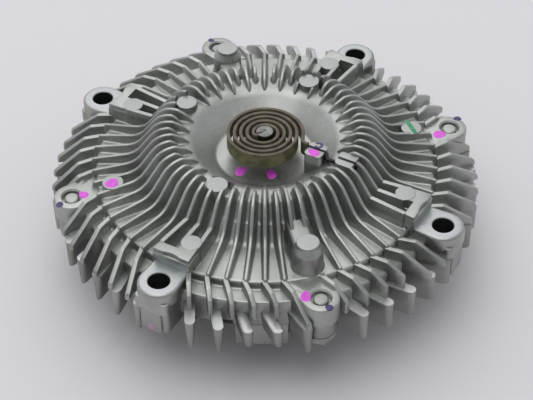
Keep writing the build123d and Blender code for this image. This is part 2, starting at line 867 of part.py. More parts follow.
with BuildPart() as bimetal_coil:
    with BuildSketch(leg_plane.offset(coil_bottom)):
        with BuildLine():
            hook = Line(
                Vector(hook_inner_end, 0).rotate(Axis.Z, hook_line),
                Vector(hook_reach, 0).rotate(Axis.Z, hook_line),
            )
            spiral = JernArc(hook @ 1, hook % 1, hook_bend, -90 - hook_turn)
            for quarter in range(coil_quarter_turns):
                spiral = JernArc(spiral @ 1, spiral % 1, coil_inner_radius + quarter * coil_step, -90)
            spiral_centre_y = (spiral @ 1).Y - coil_outer_radius * (spiral % 1).X
            leg_turn = math.degrees(
                math.asin(
                    (leg_offset + leg_bend - spiral_centre_y) / (coil_outer_radius + leg_bend)
                )
            )
            spiral = JernArc(
                spiral @ 1, spiral % 1, coil_outer_radius, -((leg_start_turn - leg_turn) % 360)
            )
            bend = JernArc(spiral @ 1, spiral % 1, leg_bend, 90 - leg_turn)
            Polyline(
                bend @ 1,
                (leg_jog_start, leg_offset),
                (leg_jog_end, leg_end_offset),
                (leg_end, leg_end_offset),
            )
        trace(line_width=coil_thickness)
    extrude(amount=coil_height)
    with BuildSketch(leg_plane.offset(coil_bottom)):
        with Locations(((anchor_start - leg_play + leg_step) / 2, 0)):
            Rectangle(leg_step - anchor_start + leg_play, 4 * leg_offset)
    extrude(amount=leg_floor - coil_bottom, mode=Mode.SUBTRACT)
    with BuildSketch(leg_plane.offset(coil_bottom)):
        with Locations(((leg_step + leg_end + leg_play) / 2, 0)):
            Rectangle(leg_end + leg_play - leg_step, 4 * leg_offset)
    extrude(amount=crown_top + leg_play - coil_bottom, mode=Mode.SUBTRACT)
    with BuildSketch(leg_plane.offset(web_top + anchor_rise)):
        with Locations(((anchor_start + leg_end) / 2, 0)):
            Rectangle(leg_end - anchor_start + 2 * leg_play, 4 * leg_offset)
    extrude(amount=coil_top - web_top - anchor_rise, mode=Mode.SUBTRACT)

bimetal_coil.part.label = "bimetal_coil"
export_step(bimetal_coil.part, "parts/bimetal_coil.step")

# Valve shaft: journal in the cover, seal and clip grooves, slotted tip for the coil
arm_bottom = ceiling + arm_gap
valve_clip_bottom = centre_boss_top + running_gap
valve_seal_bottom = chamber_roof + (centre_boss_top - chamber_roof - valve_seal_width) / 2
valve_groove_radius = valve_shaft_radius - valve_seal_depth

with BuildPart() as valve_shaft:
    with BuildSketch(Plane.XZ):
        with BuildLine():
            Polyline(
                (0, arm_bottom),
                (valve_journal_radius, arm_bottom),
                (valve_journal_radius, arm_top),
                (valve_shaft_radius, arm_top),
                (valve_shaft_radius, valve_seal_bottom),
                (valve_groove_radius, valve_seal_bottom),
                (valve_groove_radius, valve_seal_bottom + valve_seal_width),
                (valve_shaft_radius, valve_seal_bottom + valve_seal_width),
                (valve_shaft_radius, valve_clip_bottom),
                (valve_groove_radius, valve_clip_bottom),
                (valve_groove_radius, valve_clip_bottom + valve_clip_thickness),
                (valve_tip_radius, valve_clip_bottom + valve_clip_thickness),
                (valve_tip_radius, coil_top + valve_tip_rise),
                (0, coil_top + valve_tip_rise),
                close=True,
            )
        make_face()
    revolve(axis=Axis.Z)
    with BuildSketch(Plane.XY.rotated((0, 0, hook_angle)).offset(coil_bottom - leg_play)):
        with Locations((hook_inner_end - leg_play, 0)):
            Rectangle(2 * valve_tip_radius, leg_slot_width, align=(Align.MIN, Align.CENTER))
    extrude(amount=coil_height + valve_tip_rise + leg_play, mode=Mode.SUBTRACT)

valve_shaft.part.label = "valve_shaft"
export_step(valve_shaft.part, "parts/valve_shaft.step")

# Rubber ring on the valve shaft
with BuildPart() as valve_shaft_seal:
    with BuildSketch(Plane.XY.offset(valve_seal_bottom)):
        Circle(valve_shaft_radius + running_gap / 2)
        Circle(valve_groove_radius, mode=Mode.SUBTRACT)
    extrude(amount=valve_seal_width)

valve_shaft_seal.part.label = "valve_shaft_seal"
export_step(valve_shaft_seal.part, "parts/valve_shaft_seal.step")

# Open clip that keeps the valve shaft in the cover
with BuildPart() as valve_shaft_clip:
    with BuildSketch(Plane.XY.offset(valve_clip_bottom)):
        Circle(valve_clip_radius)
        Circle(valve_groove_radius, mode=Mode.SUBTRACT)
        with Locations((valve_clip_radius, 0)):
            Rectangle(2 * valve_clip_radius, 2 * valve_groove_radius, mode=Mode.SUBTRACT)
    extrude(amount=valve_clip_thickness)

valve_shaft_clip.part.label = "valve_shaft_clip"
export_step(valve_shaft_clip.part, "parts/valve_shaft_clip.step")

# Valve arm: a spring-steel tongue with a round end over the port
with BuildPart() as valve_arm:
    with BuildSketch(Plane.XY.rotated((0, 0, port_angle)).offset(arm_bottom)):
        Circle(arm_width / 2 + arm_rim)
        with Locations((arm_reach / 2, 0)):
            Rectangle(arm_reach, arm_width)
        with Locations((arm_reach, 0)):
            Circle(arm_pad_radius)
        Circle(valve_journal_radius, mode=Mode.SUBTRACT)
    extrude(amount=arm_thickness)

valve_arm.part.label = "valve_arm"
export_step(valve_arm.part, "parts/valve_arm.step")

# Separator plate between the oil chamber and the rotor, with its filling port
stop_lead = math.degrees(
    math.asin((arm_width / 2 + stop_gap + stop_pin_radius) / stop_pin_circle)
)
stop_angles = (port_angle - stop_lead, port_angle + arm_travel + stop_lead)

with BuildPart() as separator_plate:
    with BuildSketch(Plane.XY.offset(ceiling - plate_thickness)):
        Circle(plate_radius)
        with PolarLocations(plate_screw_circle, plate_screw_count, start_angle=plate_screw_angle):
            Circle(plate_screw_radius, mode=Mode.SUBTRACT)
        with PolarLocations(arm_reach, 1, start_angle=port_angle):
            Circle(port_radius, mode=Mode.SUBTRACT)
        for stop_angle in stop_angles:
            with PolarLocations(stop_pin_circle, 1, start_angle=stop_angle):
                Circle(stop_pin_radius, mode=Mode.SUBTRACT)
    extrude(amount=plate_thickness)

separator_plate.part.label = "separator_plate"
export_step(separator_plate.part, "parts/separator_plate.step")

# Two pins that end the travel of the arm
for number, stop_angle in enumerate(stop_angles, start=1):
    with BuildPart() as stop_pin:
        with BuildSketch(Plane.XY.offset(ceiling - plate_thickness)):
            with PolarLocations(stop_pin_circle, 1, start_angle=stop_angle):
                Circle(stop_pin_radius)
        extrude(amount=plate_thickness + stop_pin_height)

    stop_pin.part.label = f"valve_stop_pin_{number}"
    export_step(stop_pin.part, f"parts/valve_stop_pin_{number}.step")

# Screws that hold the separator plate
for number in range(plate_screw_count):
    screw_place = plate_screw_angle + number * 360 / plate_screw_count
    with BuildPart() as plate_screw:
        with BuildSketch(Plane.XY.offset(ceiling - plate_thickness)):
            with PolarLocations(plate_screw_circle, 1, start_angle=screw_place):
                Circle(plate_screw_head_radius)
        extrude(amount=-plate_screw_head)
        with BuildSketch(Plane.XY.offset(ceiling - plate_thickness)):
            with PolarLocations(plate_screw_circle, 1, start_angle=screw_place):
                Circle(plate_screw_radius)
        extrude(amount=plate_thickness + plate_screw_depth)

    plate_screw.part.label = f"separator_screw_{number + 1}"
    export_step(plate_screw.part, f"parts/separator_screw_{number + 1}.step")

# Wiper under the ceiling of the chamber that turns the oil back at the rim of the rotor
with BuildPart() as pump_wiper:
    with BuildSketch(Plane.XY.rotated((0, 0, wiper_angle)).offset(ceiling)):
        with Locations((cavity_radius - wiper_rim_gap, 0)):
            Rectangle(wiper_depth, wiper_width, align=(Align.MAX, Align.CENTER))
    extrude(amount=-(land_height + land_end_gap - wiper_gap))

pump_wiper.part.label = "pump_wiper"
export_step(pump_wiper.part, "parts/pump_wiper.step")

# Rotor: a disc with a hub pressed on the shaft and rings between those of the cover
with BuildPart() as rotor:
    with BuildSketch(Plane.XZ):
        with BuildLine():
            Polyline(
                (rotor_bore_radius, bearing_front),
                (rotor_hub_radius, bearing_front),
                (rotor_hub_radius, rotor_rear),
                (rotor_radius, rotor_rear),
                (rotor_radius, rotor_front),
                (plate_radius, rotor_front),
                (plate_radius, rotor_front - rotor_recess),
                (rotor_hub_radius, rotor_front - rotor_recess),
                (rotor_hub_radius, rotor_front),
                (rotor_bore_radius, rotor_front),
                close=True,
            )
        make_face()
    revolve(axis=Axis.Z)
    with BuildSketch(Plane.XY.offset(rotor_front)):
        for ring in range(land_count):
            Circle(land_start + (ring + 0.5) * land_pitch + land_width)
            Circle(land_start + (ring + 0.5) * land_pitch, mode=Mode.SUBTRACT)
    extrude(amount=land_height)

rotor.part.label = "rotor"
export_step(rotor.part, "parts/rotor.step")

# Drive shaft: forged with its four-lobed flange and centred by a bore in the rear face
shaft_end = rotor_front + rotor_clip_thickness + shaft_end_length

with BuildPart() as drive_shaft:
    with BuildSketch():
        with PolarLocations(flange_lobe_circle, flange_hole_count, start_angle=45):
            Circle(flange_lobe_radius)
        make_hull()
        with PolarLocations(flange_lobe_circle, flange_hole_count, start_angle=45):
            Circle(flange_hole_radius, mode=Mode.SUBTRACT)
    extrude(amount=flange_thickness)
    with BuildSketch(Plane.XZ):
        with BuildLine():
            Polyline(
                (0, flange_thickness),
                (shoulder_radius, flange_thickness),
                (shoulder_radius, bearing_rear),
                (bearing_bore_radius, bearing_rear),
                (bearing_bore_radius, bearing_front),
                (rotor_bore_radius, bearing_front),
                (rotor_bore_radius, rotor_front),
                (rotor_bore_radius - rotor_clip_depth, rotor_front),
                (rotor_bore_radius - rotor_clip_depth, rotor_front + rotor_clip_thickness),
                (rotor_bore_radius, rotor_front + rotor_clip_thickness),
                (rotor_bore_radius, shaft_end),
                (0, shaft_end),
                close=True,
            )
        make_face()
    revolve(axis=Axis.Z)
    with BuildSketch():
        Circle(pilot_radius)
    extrude(amount=pilot_depth, mode=Mode.SUBTRACT)

drive_shaft.part.label = "drive_shaft"
export_step(drive_shaft.part, "parts/drive_shaft.step")

# Clip that keeps the rotor on the shaft
with BuildPart() as rotor_retaining_ring:
    with BuildSketch(Plane.XY.offset(rotor_front)):
        Circle(rotor_clip_radius)
        Circle(rotor_bore_radius - rotor_clip_depth, mode=Mode.SUBTRACT)
        with Locations((rotor_clip_radius, 0)):
            Rectangle(rotor_clip_radius, rotor_bore_radius, mode=Mode.SUBTRACT)
    extrude(amount=rotor_clip_thickness)

rotor_retaining_ring.part.label = "rotor_retaining_ring"
export_step(rotor_retaining_ring.part, "parts/rotor_retaining_ring.step")

# Bearing rings with grooves for the balls
bearing_middle = (bearing_rear + bearing_front) / 2
groove_half = 0.82 * ball_radius

with BuildPart() as bearing_inner_ring:
    with BuildSketch(Plane.XZ):
        with BuildLine():
            Polyline(
                (bearing_bore_radius, bearing_rear),
                (inner_race_radius, bearing_rear),
                (inner_race_radius, bearing_middle - groove_half),
                (ball_pitch_radius - ball_radius - race_gap, bearing_middle - groove_half),
                (ball_pitch_radius - ball_radius - race_gap, bearing_middle + groove_half),
                (inner_race_radius, bearing_middle + groove_half),
                (inner_race_radius, bearing_front),
                (bearing_bore_radius, bearing_front),
                close=True,
            )
        make_face()
    revolve(axis=Axis.Z)

bearing_inner_ring.part.label = "bearing_inner_ring"
export_step(bearing_inner_ring.part, "parts/bearing_inner_ring.step")

with BuildPart() as bearing_outer_ring:
    with BuildSketch(Plane.XZ):
        with BuildLine():
            Polyline(
                (bearing_outer_radius, bearing_rear),
                (outer_race_radius, bearing_rear),
                (outer_race_radius, bearing_middle - groove_half),
                (ball_pitch_radius + ball_radius + race_gap, bearing_middle - groove_half),
                (ball_pitch_radius + ball_radius + race_gap, bearing_middle + groove_half),
                (outer_race_radius, bearing_middle + groove_half),
                (outer_race_radius, bearing_front),
                (bearing_outer_radius, bearing_front),
                close=True,
            )
        make_face()
    revolve(axis=Axis.Z)

bearing_outer_ring.part.label = "bearing_outer_ring"
export_step(bearing_outer_ring.part, "parts/bearing_outer_ring.step")

# Balls of the bearing, kept to flat faces, and the cage that spaces them
ball_flat = ball_radius * (math.sqrt(2) - 1)

for number in range(ball_count):
    with BuildPart() as ball:
        with BuildSketch(Plane.XY.offset(bearing_middle)):
            with PolarLocations(ball_pitch_radius, 1, start_angle=number * 360 / ball_count):
                Rectangle(2 * ball_radius, 2 * ball_radius)
        extrude(amount=ball_radius, both=True)
        chamfer(ball.edges(), length=ball_radius - ball_flat)

    ball.part.label = f"bearing_ball_{number + 1}"
    export_step(ball.part, f"parts/bearing_ball_{number + 1}.step")

with BuildPart() as bearing_cage:
    with BuildSketch(Plane.XY.offset(bearing_middle - cage_height / 2)):
        Circle(cage_outer)
        Circle(cage_inner, mode=Mode.SUBTRACT)
    extrude(amount=cage_height)
    with BuildSketch(Plane.XY.offset(bearing_middle)):
        with PolarLocations(ball_pitch_radius, ball_count):
            Rectangle(2 * ball_radius, 2 * (ball_radius + cage_play))
    extrude(amount=ball_radius + cage_play, both=True, mode=Mode.SUBTRACT)

bearing_cage.part.label = "bearing_cage"
export_step(bearing_cage.part, "parts/bearing_cage.step")

# Seals of the bearing
for name, seal_bottom in (
    ("bearing_seal_rear", bearing_rear + seal_inset),
    ("bearing_seal_front", bearing_front - seal_inset - seal_thickness),
):
    with BuildPart() as bearing_seal:
        with BuildSketch(Plane.XY.offset(seal_bottom)):
            Circle(outer_race_radius)
            Circle(inner_race_radius + running_gap, mode=Mode.SUBTRACT)
        extrude(amount=seal_thickness)

    bearing_seal.part.label = name
    export_step(bearing_seal.part, f"parts/{name}.step")

# Clip in the hub that keeps the bearing in its seat
with BuildPart() as bearing_retaining_ring:
    with BuildSketch(Plane.XY.offset(bearing_rear)):
        Circle(clip_groove_radius)
        Circle(clip_groove_radius - bearing_clip_ring, mode=Mode.SUBTRACT)
        with Locations((clip_groove_radius, 0)):
            Rectangle(clip_groove_radius, bearing_clip_opening, mode=Mode.SUBTRACT)
    extrude(amount=-bearing_clip_thickness)

bearing_retaining_ring.part.label = "bearing_retaining_ring"
export_step(bearing_retaining_ring.part, "parts/bearing_retaining_ring.step")

# Assembly screws, entered from the rear, with flanged hexagon heads
screw_seat = parting - rear_screw_lug_height

for number in range(4):
    with BuildPart() as assembly_screw:
        with BuildSketch(Plane.XY.offset(screw_seat)):
            with PolarLocations(lug_circle_radius, 1, start_angle=90 * number):
                Circle(screw_flange_radius)
        extrude(amount=-screw_flange_height)
        with BuildSketch(Plane.XY.offset(screw_seat)):
            with PolarLocations(lug_circle_radius, 1, start_angle=90 * number):
                RegularPolygon(screw_hex_across / 2, 6, major_radius=False)
        extrude(amount=-screw_head_height)
        with BuildSketch(Plane.XY.offset(screw_seat)):
            with PolarLocations(lug_circle_radius, 1, start_angle=90 * number):
                Circle(screw_radius)
        extrude(amount=web_top - screw_tip_drop - screw_seat)

    assembly_screw.part.label = f"assembly_screw_{number + 1}"
    export_step(assembly_screw.part, f"parts/assembly_screw_{number + 1}.step")
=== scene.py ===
import math

import bmesh
import bpy
import numpy as np
from mathutils import Matrix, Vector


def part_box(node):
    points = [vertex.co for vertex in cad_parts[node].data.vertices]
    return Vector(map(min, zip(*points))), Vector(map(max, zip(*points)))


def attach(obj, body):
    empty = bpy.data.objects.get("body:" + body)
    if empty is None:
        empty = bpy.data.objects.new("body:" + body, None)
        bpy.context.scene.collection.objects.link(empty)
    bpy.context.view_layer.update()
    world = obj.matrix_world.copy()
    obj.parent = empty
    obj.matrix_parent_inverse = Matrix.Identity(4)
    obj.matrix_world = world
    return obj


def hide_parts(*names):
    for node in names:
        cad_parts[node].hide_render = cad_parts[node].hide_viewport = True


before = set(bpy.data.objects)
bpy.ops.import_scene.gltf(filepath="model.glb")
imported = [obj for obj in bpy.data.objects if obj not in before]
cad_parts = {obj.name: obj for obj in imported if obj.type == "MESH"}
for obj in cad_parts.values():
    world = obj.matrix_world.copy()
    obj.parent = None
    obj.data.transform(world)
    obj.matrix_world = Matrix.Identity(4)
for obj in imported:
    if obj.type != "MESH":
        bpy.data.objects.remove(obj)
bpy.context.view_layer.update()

MM = 0.001


# Cast metal of the two castings: aluminium pressed into steel dies, then tumbled with fine grit.
# That leaves an even satin skin with soft grey clouds; the seats cut in the lathe are brighter.
def linear(code):
    """sRGB hex to linear: (c + 0.055) / 1.055 to the power 2.4, or c / 12.92 near black."""
    parts = np.array([int(code[place:place + 2], 16) for place in (1, 3, 5)]) / 255
    light = np.where(parts <= 0.04045, parts / 12.92, ((parts + 0.055) / 1.055) ** 2.4)
    return (*light.tolist(), 1.0)


def add_node(material, kind, inputs=None, **settings):
    """Adds a node; an input is a value, or the socket that is linked to it."""
    node = material.node_tree.nodes.new(kind)
    for key, value in settings.items():
        setattr(node, key, value)
    for key, value in (inputs or {}).items():
        if isinstance(value, bpy.types.NodeSocket):
            material.node_tree.links.new(value, node.inputs[key])
        else:
            node.inputs[key].default_value = value
    return node


def new_material(name):
    """An empty material, and the place of each point on the object."""
    material = bpy.data.materials.new(name)
    material.use_nodes = True
    material.node_tree.nodes.clear()
    place = add_node(material, "ShaderNodeTexCoord").outputs["Object"]
    return material, place


def surfaced(material, inputs):
    """Gives the material its surface shader."""
    shader = add_node(material, "ShaderNodeBsdfPrincipled", inputs)
    add_node(material, "ShaderNodeOutputMaterial", {"Surface": shader.outputs["BSDF"]})
    return material


def per(size_mm):
    """The scale that makes one cell of a pattern as wide as a real size in millimetres."""
    return 1 / (size_mm * MM)


def noise(material, place, size_mm, detail):
    """Random values about a half, in a pattern of a given size."""
    inputs = {"Vector": place, "Scale": per(size_mm), "Detail": detail}
    return add_node(material, "ShaderNodeTexNoise", inputs).outputs["Fac"]


def ramp(material, value, *stops):
    """The colour of a value between two stops, each a place and a colour."""
    node = add_node(material, "ShaderNodeValToRGB", {"Fac": value})
    for number, (position, code) in enumerate(stops):
        node.color_ramp.elements[number].position = position
        node.color_ramp.elements[number].color = linear(code)
    return node.outputs["Color"]


def bump(material, height, strength, depth_mm):
    """The normal of a surface with a fine relief."""
    inputs = {"Height": height, "Strength": strength, "Distance": depth_mm * MM}
    return add_node(material, "ShaderNodeBump", inputs).outputs["Normal"]


def cast_aluminium(name, dark, light, seats):
    """Clouds 22 mm wide, specks of 1.3 mm, and grit of half a millimetre, coarse enough to show.
    Seats are level faces at given heights, each with a tone of its own."""
    material, place = new_material(name)
    maths = "ShaderNodeMath"
    clouds = noise(material, place, 22, 3.0)
    specks = noise(material, place, 1.3, 3.0)
    mixed = add_node(material, maths, {0: specks, 1: 0.35, 2: clouds}, operation="MULTIPLY_ADD")
    colour = ramp(material, mixed.outputs[0], (0.5, dark), (0.85, light))
    height = add_node(material, "ShaderNodeSeparateXYZ", {"Vector": place}).outputs["Z"]
    facing = add_node(material, "ShaderNodeNewGeometry").outputs["Normal"]
    upward = add_node(material, "ShaderNodeSeparateXYZ", {"Vector": facing}).outputs["Z"]
    cut = add_node(material, maths, {0: upward, 1: 0.97}, operation="GREATER_THAN").outputs[0]
    for level, seat_tone in seats:
        near = add_node(
            material, maths, {0: height, 1: level * MM, 2: 0.06 * MM}, operation="COMPARE"
        )
        seat = add_node(material, maths, {0: cut, 1: near.outputs[0]}, operation="MULTIPLY")
        colour = add_node(
            material, "ShaderNodeMixRGB",
            {"Fac": seat.outputs[0], "Color1": colour, "Color2": linear(seat_tone)},
        ).outputs["Color"]
    shine = add_node(material, "ShaderNodeMapRange", {
        "Value": specks, "From Min": 0.3, "From Max": 0.7, "To Min": 0.34, "To Max": 0.44,
    })
    grit = noise(material, place, 0.55, 2.0)
    return surfaced(material, {
        "Base Color": colour, "Metallic": 0.9,
        "Roughness": shine.outputs["Result"], "Normal": bump(material, grit, 0.35, 0.05),
    })


# Front cover, turned form: a dished crown in the middle, a skirt that falls to the flat web, and a
# ledge at the rim where the blades grow. It is cast hollow, so the chambers of the oil are open.
cover_low, cover_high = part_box("front_cover")
parting = cover_low[2] / MM
crest = cover_high[2] / MM
web = crest - 18.1
ledge = web - 3.3
dish_floor = web + 3.8
crown = web + 13.3
fan_face = web + 1.3
ceiling = parting + 5.0
pin_bore = 4.05
pin_boss = 7.5
dish_radius = 19.9
crown_inner = 31.0
crown_outer = 38.5
skirt_foot = 49.8
chamber_radius = 68.0
web_radius = 69.6
rim_radius = 76.9
cast_wall = 4.0
lug_circle = 80.0
lug_places = np.radians(np.arange(0, 360, 45))
lug_reach = 6.4

# Heights of the level faces: crown pads, web pads, table pads, posts and the two coil bosses
crown_pad_top = crown + 3.0
web_pad_top = web + 3.6
table_top = web + 7.3
table_pad_top = table_top + 0.12
post_top = web + 12.3
boss_top = web + 14.5
anchor_top = web + 17.1
pad_tops = [crown_pad_top, web_pad_top, table_pad_top, post_top, boss_top, anchor_top]
cover_cast = cast_aluminium(
    "die_cast_aluminium_cover", "#9A9C98", "#B5B7B3",
    [(fan_face, "#AFB2B3")] + [(level, "#A1A3A1") for level in pad_tops],
)


def rounded(points, radii, steps=5):
    """The line through the points, with each inner corner swapped for an arc tangent to both sides.
    The arc starts at radius / tan(half the corner's angle) from the corner."""
    points = np.asarray(points, float)
    radii = np.broadcast_to(np.asarray(radii, float), len(points) - 2)
    before = points[:-2] - points[1:-1]
    after = points[2:] - points[1:-1]
    before /= np.linalg.norm(before, axis=1, keepdims=True)
    after /= np.linalg.norm(after, axis=1, keepdims=True)
    half = np.arccos(np.clip((before * after).sum(axis=1), -1, 1)) / 2
    bisector = before + after
    bisector /= np.linalg.norm(bisector, axis=1, keepdims=True)
    centre = points[1:-1] + bisector * (radii / np.sin(half))[:, None]
    start = points[1:-1] + before * (radii / np.tan(half))[:, None] - centre
    end = points[1:-1] + after * (radii / np.tan(half))[:, None] - centre
    turn = (np.pi - 2 * half)[:, None]
    share = np.linspace(0, 1, steps + 1)
    near_start = np.sin((1 - share) * turn) / np.sin(turn)
    near_end = np.sin(share * turn) / np.sin(turn)
    arcs = near_start[..., None] * start[:, None] + near_end[..., None] * end[:, None]
    arcs += centre[:, None]
    return np.vstack([points[:1], arcs.reshape(-1, 2), points[-1:]])


def turned(profile, angles, centre=(0.0, 0.0)):
    """A profile (r, z) turned about an upright axis: each point goes to (r cos a, r sin a, z)."""
    profile = np.asarray(profile, float)
    radius = profile[..., 0] + np.zeros((len(angles), 1))
    height = profile[..., 1] + np.zeros((len(angles), 1))
    angle = np.asarray(angles)[:, None]
    return np.stack(
        [centre[0] + radius * np.cos(angle), centre[1] + radius * np.sin(angle), height], axis=-1
    )


def surface(points, wrap_rows=False, wrap_columns=False, caps=False):
    """Vertices and faces of grids of points (copies, rows, columns, 3).
    A face joins a point with the next in its row and column; caps closes the first and last row."""
    points = np.asarray(points, float)
    points = points[None] if points.ndim == 3 else points
    copies, rows, columns, _ = points.shape
    copy, row, column = np.meshgrid(
        np.arange(copies), np.arange(rows - (not wrap_rows)),
        np.arange(columns - (not wrap_columns)), indexing="ij",
    )
    corners = ((row, column), (row + 1, column), (row + 1, column + 1), (row, column + 1))
    faces = [np.stack(
        [(copy * rows + r % rows) * columns + c % columns for r, c in corners], axis=-1
    ).reshape(-1, 4)]
    if caps:
        first = np.arange(copies)[:, None] * rows * columns + np.arange(columns)
        faces += [first[:, ::-1], first + (rows - 1) * columns]
    return points.reshape(-1, 3), faces


def piece(name, surfaces, material, body, nodes=(), crease=38):
    """Joins surfaces, given in millimetres, into one mesh in metres that rides on a body."""
    counts = np.cumsum([0] + [len(points) for points, _ in surfaces])
    faces = []
    for start, (_, groups) in zip(counts, surfaces):
        for group in groups:
            faces += (group + start).tolist()
    mesh = bpy.data.meshes.new(name)
    mesh.from_pydata(np.vstack([points for points, _ in surfaces]) * MM, [], faces)
    shape = bmesh.new()
    shape.from_mesh(mesh)
    bmesh.ops.remove_doubles(shape, verts=shape.verts, dist=0.002 * MM)
    bmesh.ops.dissolve_degenerate(shape, dist=0.002 * MM, edges=shape.edges)
    bmesh.ops.recalc_face_normals(shape, faces=shape.faces)
    shape.to_mesh(mesh)
    shape.free()
    mesh.polygons.foreach_set("use_smooth", np.ones(len(mesh.polygons), bool))
    mesh.set_sharp_from_angle(angle=math.radians(crease))
    mesh.materials.append(material)
    made = bpy.data.objects.new(name, mesh)
    bpy.context.scene.collection.objects.link(made)
    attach(made, body)
    if nodes:
        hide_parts(*nodes)


def gap_to(angles, places):
    """The smallest angle between each angle and the places."""
    return np.abs((np.asarray(angles)[:, None] - places + np.pi) % (2 * np.pi) - np.pi).min(axis=1)


boss_face = dish_floor + 2.1
cover_outside = rounded(
    [
        (pin_bore, ceiling + 2), (pin_bore, boss_face), (pin_boss, boss_face),
        (pin_boss, dish_floor), (dish_radius, dish_floor), (crown_inner, crown),
        (crown_outer, crown), (43.4, web + 6.9), (44.5, web + 6.3), (skirt_foot, web),
        (web_radius, web), (web_radius, ledge), (rim_radius, ledge), (rim_radius, parting),
        (chamber_radius, parting),
    ],
    (0.3, 0.5, 0.8, 2.5, 9.0, 2.5, 0.8, 0.8, 4.0, 1.4, 1.0, 0.9, 0.05),
)
cover_inside = np.array([
    (chamber_radius, ceiling), (41.0, ceiling), (41.0, ceiling + cast_wall),
    (36.5, crown - cast_wall), (crown_inner, crown - cast_wall),
    (dish_radius, dish_floor - cast_wall), (11.9, dish_floor - cast_wall), (11.9, ceiling + 2),
])
cover_angles = np.radians(np.arange(0, 360, 1.5))
cover_profile = np.vstack([cover_outside, cover_inside])
open_bore = gap_to(cover_angles, lug_places) * lug_circle < lug_reach * 0.8
cover_rows = np.broadcast_to(cover_profile, (len(cover_angles), *cover_profile.shape)).copy()
cover_rows[open_bore, :, 0] = np.minimum(cover_rows[open_bore, :, 0], lug_circle - lug_reach)
cover_shells = [surface(turned(cover_rows, cover_angles), wrap_rows=True, wrap_columns=True)]


# Fins of the cover: thin ribs with drafted sides that rise over the crown and fall in an S to the
# web. Every second one runs on to a point at the dish; the die leaves their ridges and feet round.
fin_pitch = math.radians(6)
fin_half = 0.75
fin_draft = 0.07
ridge_round = 0.55
foot_round = 0.8
fin_end = 70.9


def rib(along, top, root, half, draft, ridge, foot, sink=0.8):
    """Rings of a rib: half its width grows by draft below the top, a quarter circle rounds each
    side of the ridge, and a quarter circle flares it into its root."""
    along, top, root, half = np.broadcast_arrays(along, top, root, half)
    height = np.maximum(top - root, 0.02)
    ridge = np.minimum(np.minimum(ridge, 0.45 * height), 0.9 * half)[:, None]
    foot = np.minimum(foot, 0.45 * height)[:, None]
    corner = np.radians(np.linspace(0, 90, 4))
    low = root[:, None] + foot * (1 - np.cos(corner))
    high = top[:, None] - ridge * (1 - np.sin(corner))
    low_side = half[:, None] + draft * (top[:, None] - low) + foot * (1 - np.sin(corner))
    high_side = half[:, None] - ridge * (1 - np.cos(corner))
    side = np.hstack([low_side[:, :1], low_side, high_side])
    rise = np.hstack([root[:, None] - sink, low, high])
    side = np.hstack([side, -side[:, ::-1]])
    rise = np.hstack([rise, rise[:, ::-1]])
    return np.stack([np.broadcast_to(along[:, None], side.shape), side, rise], axis=-1)


def placed(rings, angles, radius=0.0, sweep=0.0):
    """Copies of a shape: turned by the sweep, moved out by the radius, turned to each angle."""
    flat = radius + (rings[..., 0] + 1j * rings[..., 1]) * np.exp(1j * sweep)
    shape = (-1,) + (1,) * flat.ndim
    flat = flat[None] * np.exp(1j * np.asarray(angles)).reshape(shape)
    height = np.broadcast_to(rings[..., 2], flat.shape)
    return np.stack([flat.real, flat.imag, height], axis=-1)


def fin_line(start):
    """The ridge of a fin from its inner end: crest, fall and foot joined by arcs."""
    fall = [(43.2, crest), (53.1, web + 5.0), (fin_end - 0.7, web + 2.3), (fin_end, web + 1.0)]
    return rounded(start + fall, (3.0,) * (len(start) - 1) + (9.5, 9.5, 0.6))


under_fins = (cover_outside[:, 0] > dish_radius - 0.9) & (cover_outside[:, 0] < web_radius + 0.1)
ground = cover_outside[under_fins]
ground = ground[np.argsort(ground[:, 0], kind="stable")]
ground = ground[ground[:, 1] >= web - 0.01]


def root_line(radii):
    """Height of the cover's skin under a fin, which drops to the ledge past the web."""
    skin = np.interp(radii, ground[:, 0], ground[:, 1])
    return np.where(radii > web_radius - 0.3, ledge, skin) - 0.05


def denser(line, gap):
    """The same line with more points, so that no step in r is wider than the gap."""
    steps = np.arange(line[0, 0], line[-1, 0], gap)
    radii = np.unique(np.round(np.concatenate([line[:, 0], steps]), 3))
    return radii, np.interp(radii, line[:, 0], line[:, 1])


fin_angles = math.radians(45) + fin_pitch * np.arange(60)
fan_lug_angles = np.radians([45, 135, 225, 315])
screw_lug_angles = np.radians([0, 90, 180, 270])
long_nose = [(30.4, crown), (33.3, crown + 2.9), (37.3, crest)]
short_nose = [(33.9, crown - 0.2), (36.6, crest - 1.1), (38.4, crest)]


def fin(nose, sharpness, first, last):
    """A fin between two radii; its nose widens along a quarter ellipse of the given length."""
    radii, tops = denser(fin_line(nose), 1.5)
    kept = (radii > first) & (radii < last)
    radii, tops = radii[kept], tops[kept]
    widening = 1 - (1 - np.clip((radii - nose[0][0] + 0.1) / sharpness, 0.02, 1)) ** 2
    half = fin_half * np.sqrt(widening)
    return rib(radii, tops, root_line(radii), half, fin_draft, ridge_round, foot_round)


